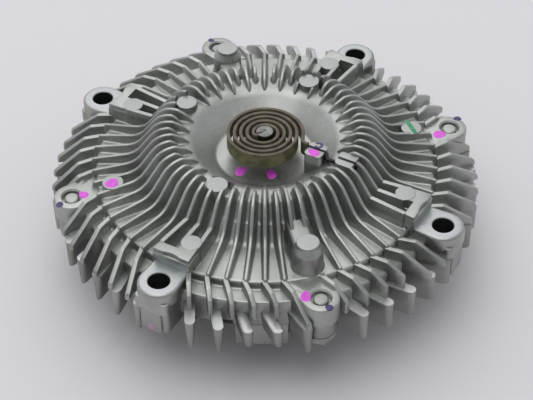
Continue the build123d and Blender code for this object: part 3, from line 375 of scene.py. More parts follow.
long_fin = (long_nose, 6.0)
short_fin = (short_nose, 1.8)
numbers = np.arange(60)
is_long = numbers % 2 == 1
at_table = np.isin(numbers % 15, (1, 14))
at_cut = numbers % 15 == 0
at_post = np.isin(numbers, (7, 8, 37, 38))
by_pad = np.isin(numbers, (1, 14, 16, 29, 31, 59))
by_anchor = numbers == 44
by_post = np.isin(numbers, (8, 38))
whole = ~(at_table | at_cut | at_post)
far = 99.0
fin_ends = [
    (whole, 0.0, far), (at_post, 0.0, 52.6), (by_post, 68.6, far),
    (at_table & ~by_pad & ~by_anchor, 0.0, 68.9), (by_pad | by_anchor, 0.0, 34.2),
    (by_pad, 39.6, 68.9), (by_anchor, 41.0, 68.9), (at_cut, 41.0, 66.7),
]
fin_shells = []
for chosen, first, last in fin_ends:
    for kind, fit in ((long_fin, is_long), (short_fin, ~is_long)):
        if (chosen & fit).any():
            copies = placed(fin(*kind, first, last), fin_angles[chosen & fit])
            fin_shells.append(surface(copies, wrap_columns=True, caps=True))


# Blades at the rim: flat plates, swept back so that the wheel draws air, with a level top that
# falls to a rounded outer corner. Those in two sectors were milled short to balance the clutch.
blade_sweep = math.radians(26)
blade_half = 1.0
blade_root = 71.2
blade_flat = 5.5
blade_top = web + 1.5
tip_radius = 87.3


def blade_reach(radius, root=blade_root, sweep=blade_sweep):
    """Length of a swept blade that ends at a radius, by the law of cosines."""
    return math.sqrt(radius**2 - (root * math.sin(sweep)) ** 2) - root * math.cos(sweep)


full_length = blade_reach(tip_radius)
blade_fall = 8.0 / (full_length - blade_flat)


def blade_rings(length, corner):
    """A blade cut off at a length, its top level and then falling straight."""
    shoulder = blade_top - blade_fall * max(length - blade_flat, 0)
    line = [(-1.5, blade_top)]
    line += [(blade_flat, blade_top)] if length > blade_flat else []
    line = rounded(
        line + [(length, shoulder), (length, parting + 0.4)],
        ((2.0,) if length > blade_flat else ()) + (corner,),
    )
    edge = np.clip((length - line[:, 0]) / 0.8, 0, 1)
    half = blade_half * (0.45 + 0.55 * np.sqrt(1 - (1 - edge) ** 2))
    return rib(line[:, 0], line[:, 1], parting + 0.03, half, 0.01, 0.35, 0.0, sink=0.0)


blade_angles = fin_angles[~np.isin(numbers % 15, (0, 7, 14))]
blade_degrees = np.degrees(blade_angles) % 360
milled_more = (blade_degrees > 230) & (blade_degrees < 256)
milled_less = (blade_degrees > 272) & (blade_degrees < 292)
blade_groups = [
    (milled_more, blade_reach(80.5), 0.8),
    (milled_less, blade_reach(83.0), 1.2),
    (~(milled_more | milled_less), full_length, 2.2),
]
for chosen, length, corner in blade_groups:
    blades = placed(blade_rings(length, corner), blade_angles[chosen], blade_root, blade_sweep)
    fin_shells.append(surface(blades, wrap_columns=True, caps=True))


# Lugs: four round bosses carry the fan, with seats faced in the lathe and a raised table behind
# each; four lower ones between them take the screws that hold the two castings together.
lug_turn = np.radians(np.arange(0, 360, 4))
to_lug = np.array([lug_circle, 0, 0])


def hull_reach(turns, circle, points, corner=0.0):
    """Reach of the hull of a circle and round corners, seen from the circle's centre: the least,
    over all directions, of the hull's width that way over the cosine of the angle to it."""
    ways = np.radians(np.arange(0, 360, 1.0))
    points = np.asarray(points, float)
    widths = (points @ np.stack([np.cos(ways), np.sin(ways)])).max(axis=0) + corner
    widths = np.maximum(circle, widths)
    lean = np.cos(ways - np.asarray(turns)[:, None])
    return np.where(lean > 0.05, widths / np.maximum(lean, 0.05), np.inf).min(axis=1)


def lug(outline, rows):
    """Walls of a lug around its bore: a row is a share of the outline, an offset and a height."""
    share, offset, height = np.array(rows, float).T
    radius = outline[:, None] * share + offset
    grid = turned(np.stack([radius, np.broadcast_to(height, radius.shape)], axis=-1), lug_turn)
    return grid + to_lug


def washer_rows(bottom, top, edge, bore, bore_edge=0.3):
    """Rows up the outside, over a rounded edge, across the seat and down the bore."""
    return [
        (1, 0, bottom), (1, 0, top - edge), (1, -0.13 * edge, top - 0.5 * edge),
        (1, -0.45 * edge, top - 0.16 * edge), (1, -edge, top),
        (0, bore + bore_edge, top), (0, bore, top - bore_edge), (0, bore, bottom),
    ]


bore = 4.25
fan_outline = hull_reach(lug_turn, 8.4, [(-13.0, 7.5), (-13.0, -7.5)])
fan_lug = lug(fan_outline, washer_rows(ledge - 1.5, fan_face, 1.3, bore))
foot_outline = hull_reach(lug_turn, 5.3, [(5.3, 5.3), (5.3, -5.3), (-9.0, 5.3), (-9.0, -5.3)], 2.0)
fan_foot = lug(foot_outline, washer_rows(parting + 0.02, ledge, 0.5, bore, 0.0))
screw_neck = [(-11.4, 3.5), (-9.2, 3.5), (-9.2, -10.5), (-11.4, -10.5)]
screw_outline = hull_reach(lug_turn, 7.2, screw_neck)
lug_top = web + 0.01
screw_lug = lug(screw_outline, [
    (1, 0, parting + 0.02), (1, 0, lug_top - 0.6), (1, -0.2, lug_top - 0.2), (1, -0.6, lug_top),
    (0, 4.4, lug_top), (0, 3.8, web - 0.6), (0, 3.8, web - 2.0), (0, 3.0, web - 2.0),
    (0, 3.0, parting + 0.02),
])
lug_shells = [
    surface(placed(fan_lug, fan_lug_angles), wrap_rows=True, wrap_columns=True),
    surface(placed(fan_foot, fan_lug_angles), wrap_rows=True, wrap_columns=True),
    surface(placed(screw_lug, screw_lug_angles), wrap_rows=True, wrap_columns=True),
]


def ring_outline(points, radius, steps=4):
    """A closed outline with its corners rounded."""
    points = np.asarray(points, float)
    return rounded(np.vstack([points[-1:], points, points[:1]]), radius, steps)[1:-1]


def prism(outline, bottom, top, edge):
    """An outline raised from bottom to top, drawn in along its normals at the upper edge."""
    along = np.roll(outline, -1, axis=0) - np.roll(outline, 1, axis=0)
    inward = np.stack([-along[:, 1], along[:, 0]], axis=1) / np.linalg.norm(along, axis=1)[:, None]
    rows = [(0, bottom), (0, top - edge), (0.3 * edge, top - 0.3 * edge), (edge, top)]
    return np.stack([
        np.column_stack([outline + inward * inset, np.full(len(outline), height)])
        for inset, height in rows
    ])


wall_line = 71.0
recess = 9.75
recess_turn = np.radians(np.linspace(-22.5, 22.5, 15))
recess_edge = np.column_stack([
    lug_circle - recess * np.cos(recess_turn), recess * np.sin(recess_turn)
])
table_step = 66.6
table_back = 62.4
low_table = np.array([
    (table_step, -7.6), (wall_line + 0.25, -8.3), (wall_line + 0.25, 8.1), (table_back, 7.3),
    (table_back, 0.3), (table_step, 0.3),
])
high_table = np.vstack([
    [(table_step, -7.5), (wall_line, -8.0)], recess_edge,
    [(wall_line, 7.8), (table_back, 7.1), (table_back, 0.3), (table_step, 0.3)],
])
recess_floor = table_top - 2.05
for outline, bottom, top, edge in (
    (low_table, web - 1, recess_floor + 0.05, 0.02), (high_table, recess_floor, table_top, 0.25)
):
    block = prism(outline, bottom, top, edge)
    lug_shells.append(surface(placed(block, fan_lug_angles), wrap_columns=True, caps=True))
for turn, last in ((-fin_pitch, 67.0), (0.0, 62.9), (fin_pitch, 62.9)):
    radii = np.linspace(51.4, last, 9)
    wall = rib(radii, table_top, root_line(radii), 0.95, 0.05, 0.3, 0.6)
    lug_shells.append(surface(placed(wall, fan_lug_angles + turn), wrap_columns=True, caps=True))


# Pads and posts where the pins of the die push the casting out: flat round ends, as cast.
# The two tall posts taper; the pads on the crown and on the tables only just stand proud.
pad_turn = np.radians(np.arange(0, 360, 12))


def round_pad(radius, bottom, top, edge):
    """Profile of a pad from its foot to the middle of its top."""
    return rounded([(radius + 0.2, bottom), (radius, top), (0, top)], edge, 4)


def standing(profile, radial, angles):
    """A turned pad copied to places on a circle."""
    pad = turned(profile, pad_turn) + np.array([radial, 0, 0])
    return surface(placed(pad, angles), wrap_rows=True)


pad_radius = 4.3
post_radius = 4.5
post_radial = 62.3
post_angles = np.radians([90, 270])
post_profile = rounded(
    [
        (6.8, web - 0.5), (6.1, web + 1.2), (5.8, web + 8.4), (post_radius, web + 11.1),
        (post_radius, post_top), (0, post_top),
    ],
    (2.0, 2.5, 1.0, 0.4), 4,
)
crown_pad = round_pad(pad_radius, crown - cast_wall, crown_pad_top, 0.3)
web_pad = round_pad(pad_radius, web - 1, web_pad_top, 0.3)
table_pad = round_pad(4.15, web - 1, table_pad_top, 0.3)
pad_shells = [
    standing(crown_pad, 37.0, np.radians([45, 135, 225])),
    standing(web_pad, 63.0, np.radians([0, 180])),
    standing(table_pad, 61.9, fan_lug_angles + math.radians(3.1)),
    standing(post_profile, post_radial, post_angles),
]
buttress_radii = np.linspace(46.5, 62.0, 14)
buttress_top = np.interp(buttress_radii, [46.5, 52.0, 62.0], [web + 9.0, web + 8.0, web + 7.5])
buttress = rib(buttress_radii, buttress_top, root_line(buttress_radii), 4.3, 0.1, 1.6, 1.5)
pad_shells.append(surface(placed(buttress, post_angles), wrap_columns=True, caps=True))


# Slotted bosses that hold the outer leg of the coil: two cheeks on each, open between them.
# The leg is laid in the slots when the clutch is set, then the metal is staked over it.
leg_angle = math.radians(316)
leg_line = 1.9
leg_end_line = -1.3
slot_half = 0.62
boss = (19.0, 26.6)
boss_near, boss_far = -2.9, 5.3
anchor = (33.3, 41.2)
anchor_near, anchor_far = -5.1, 2.7
anchor_foot = crown - cast_wall


def cheek(x_low, x_high, y_low, y_high, bottom, top, corners):
    """One cheek of a slotted boss, in the frame of the leg; each corner has its own radius."""
    outline = [(x_low, y_low), (x_high, y_low), (x_high, y_high), (x_low, y_high)]
    block = prism(ring_outline(outline, corners), bottom, top, 0.3)
    return surface(placed(block, [leg_angle]), wrap_columns=True, caps=True)


boss_slot = (leg_line - slot_half, leg_line + slot_half)
anchor_slot = (leg_end_line - slot_half, leg_end_line + slot_half)
boss_shells = [
    cheek(*boss, boss_near, boss_far, dish_floor - 1, dish_floor + 6.6, (1.5, 1.8, 1.5, 1.0)),
    cheek(*boss, boss_near, boss_slot[0], dish_floor, boss_top, (1.5, 1.8, 0.4, 0.4)),
    cheek(*boss, boss_slot[1], boss_far, dish_floor, boss_top, (0.4, 0.4, 1.5, 1.0)),
    cheek(*anchor, anchor_near, anchor_slot[0], anchor_foot, anchor_top, (2.2, 0.8, 0.3, 0.3)),
    cheek(*anchor, anchor_slot[1], anchor_far, anchor_foot, anchor_top, (0.3, 0.3, 0.8, 1.2)),
    cheek(*anchor, anchor_near, anchor_far, anchor_foot, crown + 0.2, 0.3),
]
piece(
    "front_cover_casting", cover_shells + fin_shells + lug_shells + pad_shells + boss_shells,
    cover_cast, "housing", ("front_cover",),
)


# Walls behind the fan lugs: the cutter that faced the seats also skimmed the foot of each table,
# so a bright milled band runs from the seat up to the shallow crescent in the table's edge.
def turned_steel(name, colour, shade, roughness, feed):
    """Steel from the lathe or the press: fine rings about the axis, a feed of some tenths wide."""
    material, place = new_material(name)
    wear = noise(material, place, 6, 4.0)
    rings = add_node(
        material, "ShaderNodeTexWave",
        {"Vector": place, "Scale": per(feed) / 20, "Distortion": 0.6, "Detail": 1.0},
        wave_type="RINGS", rings_direction="Z",
    )
    return surfaced(material, {
        "Base Color": ramp(material, wear, (0.35, shade), (0.65, colour)), "Metallic": 1.0,
        "Roughness": roughness, "Normal": bump(material, rings.outputs["Fac"], 0.15, 0.02),
    })


milled = turned_steel("milled_aluminium", "#B3B7B6", "#A5A9A8", 0.4, 0.25)
band = np.array([
    (wall_line + 0.1, -8.1), (wall_line + 0.28, -8.1),
    (wall_line + 0.28, 7.9), (wall_line + 0.1, 7.9),
])
band = prism(band, fan_face + 0.01, recess_floor, 0.02)
piece("milled_bands", [surface(placed(band, fan_lug_angles), wrap_columns=True, caps=True)],
      milled, "housing")


# Rear casting: a shallow bowl with a hub for the bearing, drafted fins swept like the blades, and
# ribs under the wall. Its joint face is turned flat, so the tops of its fins shine.
hub_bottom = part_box("rear_body")[0][2] / MM
wall_bottom = parting - 11.0
rear_rim = parting - 7.0
rear_sweep = math.radians(25)
rear_root = 75.5
rear_fin_half = 2.25
rear_fin_height = 13.5
rear_fin_bottom = parting - rear_fin_height
rear_cast = cast_aluminium(
    "die_cast_aluminium_rear", "#91938F", "#ACAEAA", [(parting, "#BDBFBD")],
)
rear_profile = rounded(
    [
        (23.5, 20.0), (23.5, hub_bottom), (29.0, hub_bottom), (29.0, wall_bottom),
        (72.0, wall_bottom), (72.0, rear_rim), (rim_radius, rear_rim), (rim_radius, parting),
        (chamber_radius, parting), (chamber_radius, 28.0),
    ],
    (0.5, 1.0, 3.0, 1.0, 1.0, 0.8, 0.3, 0.1), 5,
)
rear_inside = np.array([(20.5, 28.0), (20.5, 26.5), (23.5, 26.5)])
rear_all = np.vstack([rear_profile, rear_inside])
rear_rows = np.broadcast_to(rear_all, (len(cover_angles), *rear_all.shape)).copy()
rear_rows[open_bore, :, 0] = np.minimum(rear_rows[open_bore, :, 0], lug_circle - lug_reach)
rear_shells = [surface(turned(rear_rows, cover_angles), wrap_rows=True, wrap_columns=True)]

rear_length = blade_reach(tip_radius, rear_root, rear_sweep)


def rear_bar(bottom):
    """A swept bar with a flat top and sides that draw in downwards; its outer end is half round."""
    along = rear_length - rear_fin_half * (1 - np.cos(np.radians(np.linspace(0, 90, 8))))[::-1]
    along = np.concatenate([[-1.5, rear_length - rear_fin_half - 0.05], along])
    end = np.clip((along - rear_length + rear_fin_half) / rear_fin_half, 0, 1)
    round_end = np.maximum(np.sqrt(1 - end**2), 0.04)[:, None]
    drop = np.array([0.0, 0.25, 1.0, 6.0, 12.4, 13.1, rear_fin_height])
    drop = drop * (parting - bottom) / rear_fin_height
    wide = rear_fin_half * (1 - drop / 2 / rear_fin_height)
    wide = wide - np.array([0.25, 0, 0, 0, 0, 0.2, 0.9])
    pull = np.array([0.0, 0, 0, 0, 0, 0.3, 1.0])
    side = round_end * wide
    x = along[:, None] - pull * end[:, None]
    z = np.broadcast_to(parting - drop, side.shape)
    right = np.stack([x, side, z], axis=-1)
    left = np.stack([x, -side, z], axis=-1)
    return np.concatenate([right, left[:, ::-1]], axis=1)


rear_pitches = math.radians(7.5) * np.arange(48)
rear_angles = rear_pitches[gap_to(rear_pitches, lug_places) > 0.01]
over_block = (np.degrees(rear_angles) > 244) & (np.degrees(rear_angles) < 260)
for chosen, bottom in ((~over_block, rear_fin_bottom), (over_block, parting - 8.4)):
    bars = placed(rear_bar(bottom), rear_angles[chosen], rear_root, rear_sweep)
    rear_shells.append(surface(bars, wrap_columns=True, caps=True))
upside_down = np.array([1, 1, -1])
rib_radii = np.linspace(36.0, 76.5, 14)
rib_low = np.interp(rib_radii, [36.0, rear_root], [wall_bottom - 5.5, rear_fin_bottom])
rib_root = np.where(rib_radii > 71.8, rear_rim, wall_bottom)
rear_rib = rib(rib_radii, -rib_low, -rib_root, 1.0, 0.05, 0.5, 0.8) * upside_down
rear_shells.append(surface(placed(rear_rib, rear_pitches), wrap_columns=True, caps=True))
block_inner = 69.9
block_bottom = 17.3
block_top = rear_rim + 0.5
block_section = ring_outline([
    (block_inner, block_bottom), (rim_radius, block_bottom), (rim_radius, block_top),
    (block_inner, block_top),
], 0.6)
block_angles = np.radians(np.linspace(246.4, 261.4, 13))
rear_shells.append(surface(turned(block_section, block_angles), wrap_columns=True, caps=True))

rear_fan_corners = [(4.2, 5.0), (4.2, -5.0), (-4.5, 5.0), (-4.5, -5.0)]
rear_fan_outline = hull_reach(lug_turn, 5.0, rear_fan_corners, 2.0)
rear_screw_outline = hull_reach(lug_turn, 6.0, [(-5.5, 6.0), (-5.5, -6.0)])


def hanging(outline, top, bottom, bore):
    """Walls of a lug that hangs from the joint face."""
    return lug(outline, [
        (1, 0, top), (1, 0, bottom + 0.5), (1, -0.15, bottom + 0.15), (1, -0.5, bottom),
        (0, bore + 0.3, bottom), (0, bore, bottom + 0.3), (0, bore, top),
    ])


rear_lug_depth = 10.4
screw_seat = parting - 8.0
outer_rib = ring_outline([(84.6, -4.6), (tip_radius, -4.6), (tip_radius, 4.6), (84.6, 4.6)], 0.6)
outer_rib = prism(outer_rib, -parting, -parting + rear_lug_depth, 0.4)[:, ::-1] * upside_down
rear_shells.append(surface(placed(outer_rib, fan_lug_angles), wrap_columns=True, caps=True))
for hung, angles in (
    (hanging(rear_fan_outline, parting, parting - rear_lug_depth, bore), fan_lug_angles),
    (hanging(rear_screw_outline, parting, screw_seat, 3.3), screw_lug_angles),
):
    rear_shells.append(surface(placed(hung, angles), wrap_rows=True, wrap_columns=True))
piece("rear_casting", rear_shells, rear_cast, "housing", ("rear_body",))


# Bimetal coil: a strip of two rolled alloys that bend as they warm, wound flat into a spiral with
# a hook at its core and a cranked leg outside. It is dark with oil; the flat side looks olive.
coil_low, coil_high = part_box("bimetal_coil")
coil_bottom = coil_low[2] / MM
coil_top = coil_high[2] / MM
strip = 1.3
coil_inner = 4.6
coil_outer = 16.0
quarters = 18
hook_angle = math.radians(195)
hook_bend = 1.2
hook_start = 0.8
leg_bend = 2.5
leg_step = 18.9
leg_jog = (27.2, 29.0)
leg_climb = (29.6, 31.6)
leg_end = 42.2


def strip_colours(name):
    """Rolled strip: olive flanks, brown-grey cut edges, stains of 4 mm and drawn marks 3 mm long.
    Past the coil's edge the leg is nearly black: painted shade in the boss slots, as dark between
    them."""
    material, place = new_material(name)
    facing = add_node(material, "ShaderNodeNewGeometry").outputs["Normal"]
    upward = add_node(material, "ShaderNodeSeparateXYZ", {"Vector": facing}).outputs["Z"]
    stains = noise(material, place, 4, 4.0)
    flank = ramp(material, stains, (0.35, "#57533D"), (0.7, "#7D7958"))
    edge = ramp(material, stains, (0.35, "#554C43"), (0.7, "#6C6358"))
    up = add_node(material, "ShaderNodeMath", {0: upward, 1: 0.6}, operation="GREATER_THAN")
    colour = add_node(
        material, "ShaderNodeMixRGB", {"Fac": up.outputs[0], "Color1": flank, "Color2": edge}
    )
    vectors = "ShaderNodeVectorMath"
    level = add_node(material, vectors, {0: place, 1: (1, 1, 0)}, operation="MULTIPLY")
    radius = add_node(material, vectors, {0: level.outputs["Vector"]}, operation="LENGTH")
    # Near black past the coil's edge: painted shade where the leg lies in the boss slots, the same
    # between them.
    outside = add_node(
        material, "ShaderNodeMapRange",
        {"Value": radius.outputs["Value"], "From Min": 18.3 * MM, "From Max": 19.4 * MM},
    )
    colour = add_node(material, "ShaderNodeMixRGB", {
        "Fac": outside.outputs["Result"], "Color1": colour.outputs["Color"],
        "Color2": linear("#121110"),
    })
    rolled = add_node(material, "ShaderNodeMapping", {"Vector": place, "Scale": (1.0, 1.0, 12.0)})
    marks = noise(material, rolled.outputs["Vector"], 3, 2.0)
    return surfaced(material, {
        "Base Color": colour.outputs["Color"], "Metallic": 0.4, "Roughness": 0.5,
        "Normal": bump(material, marks, 0.3, 0.04),
    })


def bent_line(start, heading, runs, gap=0.45):
    """A line made of runs (length, turn): each step goes on by its share and turns by its share."""
    counts = [max(int(math.ceil(length / gap)), 1) for length, _ in runs]
    steps = np.repeat([length / count for (length, _), count in zip(runs, counts)], counts)
    turns = np.repeat([turn / count for (_, turn), count in zip(runs, counts)], counts)
    ways = heading + np.cumsum(turns) - turns / 2
    chord = steps * np.sinc(turns / (2 * np.pi))
    points = start + np.concatenate([[0], np.cumsum(chord * np.exp(1j * ways))])
    ends = np.concatenate([[heading], heading + np.cumsum(turns)])
    return points, ends


hook_turn = math.asin(hook_bend / (coil_inner - hook_bend))
hook_line = (coil_inner - hook_bend) * math.cos(hook_turn)
hook_way = hook_angle - leg_angle
coil_growth = (coil_outer - coil_inner) / quarters
quarter = math.pi / 2
start = hook_start * np.exp(1j * hook_way)
winding = [
    (hook_line - hook_start, 0.0), (hook_bend * (quarter + hook_turn), -(quarter + hook_turn))
]
winding += [((coil_inner + turn * coil_growth) * quarter, -quarter) for turn in range(quarters)]
spiral, headings = bent_line(start, hook_way, winding)
centre_side = spiral[-1].imag - coil_outer * math.cos(headings[-1])
leg_turn = math.asin((leg_line + leg_bend - centre_side) / (coil_outer + leg_bend))
closing = (math.degrees(hook_way - hook_turn) - 90 * quarters - math.degrees(leg_turn)) % 360
winding += [
    (coil_outer * math.radians(closing), -math.radians(closing)),
    (leg_bend * (quarter - leg_turn), quarter - leg_turn),
]
spiral, headings = bent_line(start, hook_way, winding)
leg_points = np.array([
    spiral[-1], leg_jog[0] + 1j * leg_line, leg_jog[1] + 1j * leg_end_line,
    leg_end + 1j * leg_end_line,
])
leg_path = rounded(np.column_stack([leg_points.real, leg_points.imag]), 0.7, 4)
leg_path = leg_path[1:, 0] + 1j * leg_path[1:, 1]
step_points = np.array([leg_step - 0.02, leg_step + 0.02]) + 1j * leg_line
path = np.concatenate([spiral, step_points, leg_path])
way = np.gradient(path)
way = way / np.abs(way)
across = way * 1j
on_leg = (np.arange(len(path)) >= len(spiral) - 1) & (path.real > leg_step)
leg_low = np.where(path.real > leg_jog[1] - 0.5, crown + 0.1, web + 10.5)
leg_high = np.interp(path.real, leg_climb, [boss_top - 0.3, anchor_top - 0.9])
lowest = np.where(on_leg, leg_low, coil_bottom)
highest = np.where(on_leg, leg_high, coil_top)
edge_round = 0.18
section_side = strip / 2 - edge_round * np.array([0, 0, 0.3, 1, 1, 0.3, 0, 0])
section_side = section_side * np.array([1, 1, 1, 1, -1, -1, -1, -1])
section_up = np.array([0.0, 1, 1, 1, 1, 1, 1, 0])
section_in = edge_round * np.array([0, 1, 0.3, 0, 0, 0.3, 1, 0])
height = lowest[:, None] + (highest - lowest)[:, None] * section_up - section_in
flat = path[:, None] + across[:, None] * section_side
coil_rings = np.stack([flat.real, flat.imag, height], axis=-1)
piece(
    "bimetal_spiral", [surface(placed(coil_rings, [leg_angle]), wrap_columns=True, caps=True)],
    strip_colours("rolled_bimetal_strip"), "housing", ("bimetal_coil",),
)


# Bolt holes of the fan lugs, drilled through both castings. A nearly black sheet lines each bore
# as painted shade, the shade deep in the holes, so the bores look nearly black from above.
def bore_shade_paint(name):
    """Painted shade for the inside of a bore: nearly black, and glossier in patches 3 mm apart."""
    material, place = new_material(name)
    gloss_patches = noise(material, place, 3, 3.0)
    tone = ramp(material, gloss_patches, (0.35, "#2A2D2F"), (0.65, "#343635"))
    shine = add_node(
        material, "ShaderNodeMapRange", {"Value": gloss_patches, "To Min": 0.65, "To Max": 0.35}
    )
    return surfaced(material, {
        "Base Color": tone, "Metallic": 0.5, "Roughness": shine.outputs["Result"],
    })


# A thin near-black sheet on the wall of each bore: painted shade.
bore_shade_sheet = np.array([
    (bore + 0.02, parting - 10.0), (bore - 0.03, parting - 10.0), (bore - 0.03, fan_face - 0.5),
    (bore + 0.02, fan_face - 0.5),
])
bore_shade_sheet = placed(turned(bore_shade_sheet, lug_turn) + to_lug, fan_lug_angles)
piece("painted_bore_shade_sheets", [surface(bore_shade_sheet, wrap_rows=True, wrap_columns=True)],
      bore_shade_paint("painted_bore_shade"), "housing")


# Valve shaft: a turned steel pin in the middle of the dish, slit across its tip. The coil's hook
# sits in the slit, so the coil turns the pin as it warms; the lathe has left fine rings.
valve_low, valve_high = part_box("valve_shaft")
valve_top = valve_high[2] / MM
valve_bottom = valve_low[2] / MM
pin_turn = np.radians(np.arange(0, 360, 7.5))
pin_profile = rounded(
    [
        (0, valve_bottom), (2.5, valve_bottom), (2.5, valve_bottom + 0.8),
        (4.0, valve_bottom + 0.8), (4.0, coil_bottom - 1.0), (3.5, coil_bottom - 1.0),
        (3.5, valve_top - 3.2), (0, valve_top - 3.2),
    ],
    0.15, 3,
)
tip_turn = np.radians(np.linspace(12, 348, 45))
tip_low = valve_top - 5
core_top = valve_top - 0.25
tip_profile = rounded([(0.9, tip_low), (3.5, tip_low), (3.5, valve_top), (0.9, valve_top)], 0.3, 4)
core_profile = [(1.0, tip_low), (1.0, core_top), (0, core_top)]
pin_shells = [
    surface(turned(pin_profile, pin_turn), wrap_rows=True),
    surface(placed(turned(tip_profile, tip_turn), [hook_angle]), wrap_columns=True, caps=True),
    surface(placed(turned(core_profile, tip_turn), [hook_angle])),
]
piece(
    "valve_pin", pin_shells, turned_steel("turned_valve_steel", "#878986", "#696A67", 0.36, 0.3),
    "valve", ("valve_shaft",),
)


# Screws of the castings: four cold-headed screws with a flange, zinc plated, driven from the rear.
# Their domed ends show in the counterbores of the front; the plating has a pale, dull haze.
plated = turned_steel("zinc_plated_steel", "#B5B8B4", "#9FA29E", 0.5, 0.35)
screw_tip = web - 0.5
screw_profile = rounded(
    [
        (0, screw_seat - 3.6), (4.2, screw_seat - 3.6), (4.4, screw_seat - 1.6),
        (6.0, screw_seat - 1.3), (6.4, screw_seat), (3.0, screw_seat), (3.0, screw_tip - 0.5),
        (2.3, screw_tip), (0, screw_tip + 0.15),
    ],
    (0.2, 0.2, 0.3, 0.2, 0.1, 0.4, 0.4), 3,
)
hex_turn = np.radians(np.arange(0, 360, 60))
hex_outline = 5.77 * np.column_stack([np.cos(hex_turn), np.sin(hex_turn)])
hex_head = prism(ring_outline(hex_outline, 0.3), -screw_seat + 0.4, -screw_seat + 4.0, 0.5)
hex_head = hex_head[:, ::-1] * upside_down + to_lug
shank = turned(screw_profile, pad_turn) + to_lug
for number, angle in enumerate(screw_lug_angles, start=1):
    shells = [
        surface(placed(shank, [angle]), wrap_rows=True),
        surface(placed(hex_head, [angle]), wrap_columns=True, caps=True),
    ]
    piece(f"lug_screw_{number}", shells, plated, "housing",
          (f"assembly_screw_{number}",))


# Pieces inside and behind: they keep the shapes of their solids, and each takes the finish of its
# kind, such as forged, ground, pressed or blackened steel, turned aluminium or moulded rubber.
def soft_rubber(name, colour, shade):
    """Moulded nitrile rubber: nearly black, dull, with a faint bloom."""
    material, place = new_material(name)
    tone = ramp(material, noise(material, place, 5, 3.0), (0.0, colour), (1.0, shade))
    return surfaced(material, {"Base Color": tone, "Roughness": 0.7})


finishes = {
    turned_steel("forged_steel", "#8F8E8B", "#6E6D6A", 0.4, 0.4): ("drive_shaft",),
    turned_steel("ground_bearing_steel", "#B4B5B6", "#A2A3A4", 0.22, 0.25): (
        ["bearing_inner_ring", "bearing_outer_ring"]
        + [f"bearing_ball_{ball}" for ball in range(1, 9)]
    ),
    turned_steel("blackened_spring_steel", "#4A4A4C", "#333336", 0.38, 0.3): (
        "bearing_retaining_ring", "rotor_retaining_ring", "valve_shaft_clip", "valve_arm"
    ),
    turned_steel("pressed_steel", "#A6A7A5", "#8C8D8A", 0.36, 0.5): (
        "separator_plate", "bearing_cage", "pump_wiper", "valve_stop_pin_1", "valve_stop_pin_2"
    ),
    plated: [f"separator_screw_{number}" for number in range(1, 5)],
    turned_steel("turned_aluminium", "#B9BABA", "#A5A6A6", 0.35, 0.3): ("rotor",),
    soft_rubber("nitrile_rubber", "#1B1B1C", "#2A2A2B"): (
        "body_seal", "valve_shaft_seal", "bearing_seal_rear", "bearing_seal_front"
    ),
}
for finish, names in finishes.items():
    for name in names:
        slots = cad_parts[name].data.materials
        slots.clear()
        slots.append(finish)


# Paint marks of the test bench: thin drops of marker lacquer, put on by hand as each step passed.
# They lie on the seats as flat, slightly uneven dots, one open ring and one short stripe; a worn
# pink one is on the side of a lug. A black stroke on the rim is painted shade, the deep shade under
# the rim beside the block.
def lacquer(name, colour, shade):
    """Brushed marker lacquer: a strong colour, thinner at places, semi-gloss."""
    material, place = new_material(name)
    tone = ramp(material, noise(material, place, 1.2, 2.0), (0.35, shade), (0.6, colour))
    return surfaced(material, {"Base Color": tone, "Roughness": 0.45})


def drop(radial, degrees, height, wide, long, wobble, lug_edge=None):
    """A drop of paint: its outline waves twice and three times around and its rim is thin. What
    lies past the edge of a lug runs down its side by as much as it would stand out."""
    ring = 1 + 0.1 * np.sin(2 * pad_turn + wobble) + 0.06 * np.sin(3 * pad_turn + 2 * wobble)
    profile = np.array([
        (0, -0.02), (0.4, -0.02), (0.8, -0.02), (1, -0.02), (0.97, 0.03), (0.8, 0.06), (0, 0.07)
    ])
    spread = ring[:, None] * profile[:, 0] * np.exp(1j * pad_turn)[:, None]
    flat = radial + long * spread.real + 1j * wide * spread.imag
    rise = np.broadcast_to(height + profile[:, 1], flat.shape)
    if lug_edge:
        out = np.abs(flat - lug_circle)
        past = np.maximum(out - lug_edge, 0)
        flat = lug_circle + (flat - lug_circle) * (1 - past / np.maximum(out, 0.01))
        rise = rise - past
    grid = np.stack([flat.real, flat.imag, rise], axis=-1)
    return surface(placed(grid, [math.radians(degrees)]), wrap_rows=True)


magenta_drops = [
    drop(14.4, 212.5, dish_floor, 2.3, 2.6, 0.4), drop(12.7, 266.8, dish_floor, 2.2, 2.7, 1.7),
    drop(63.5, 180.6, web_pad_top, 2.9, 2.6, 0.9), drop(75.2, 180.3, web, 2.3, 1.8, 2.1),
    drop(78.3, 266.1, web, 2.0, 2.7, 3.0), drop(74.4, 357.4, web, 2.6, 2.5, 1.2),
    drop(22.8, 314.0, boss_top, 2.1, 2.4, 2.6),
]
piece("magenta_marks", magenta_drops, lacquer("magenta_lacquer", "#E45ADF", "#CC4FCC"),
      "housing")
edge = 7.18
purple_drops = [
    drop(85.5, 182.4, web, 1.7, 1.5, 0.3, edge), drop(85.8, 271.0, web, 1.7, 1.6, 1.4, edge),
    drop(85.3, 2.9, web, 1.6, 1.5, 2.2, edge), drop(85.6, 91.3, web, 1.4, 1.3, 0.8, edge),
]
ring_radius = 1.3
ring_line = ring_radius * np.exp(1j * np.radians(np.linspace(-140, 160, 26)))
ring_section = 0.6 * np.exp(1j * np.radians(np.arange(0, 360, 45)))
ring_flat = ring_line[:, None] * (1 + ring_section.real / ring_radius)
ring_rise = np.broadcast_to(boss_top + 0.1 * ring_section.imag, ring_flat.shape)
ring_mark = np.stack([ring_flat.real + 22.4, ring_flat.imag + 3.95, ring_rise], axis=-1)
purple_drops.append(surface(placed(ring_mark, [leg_angle]), wrap_columns=True, caps=True))
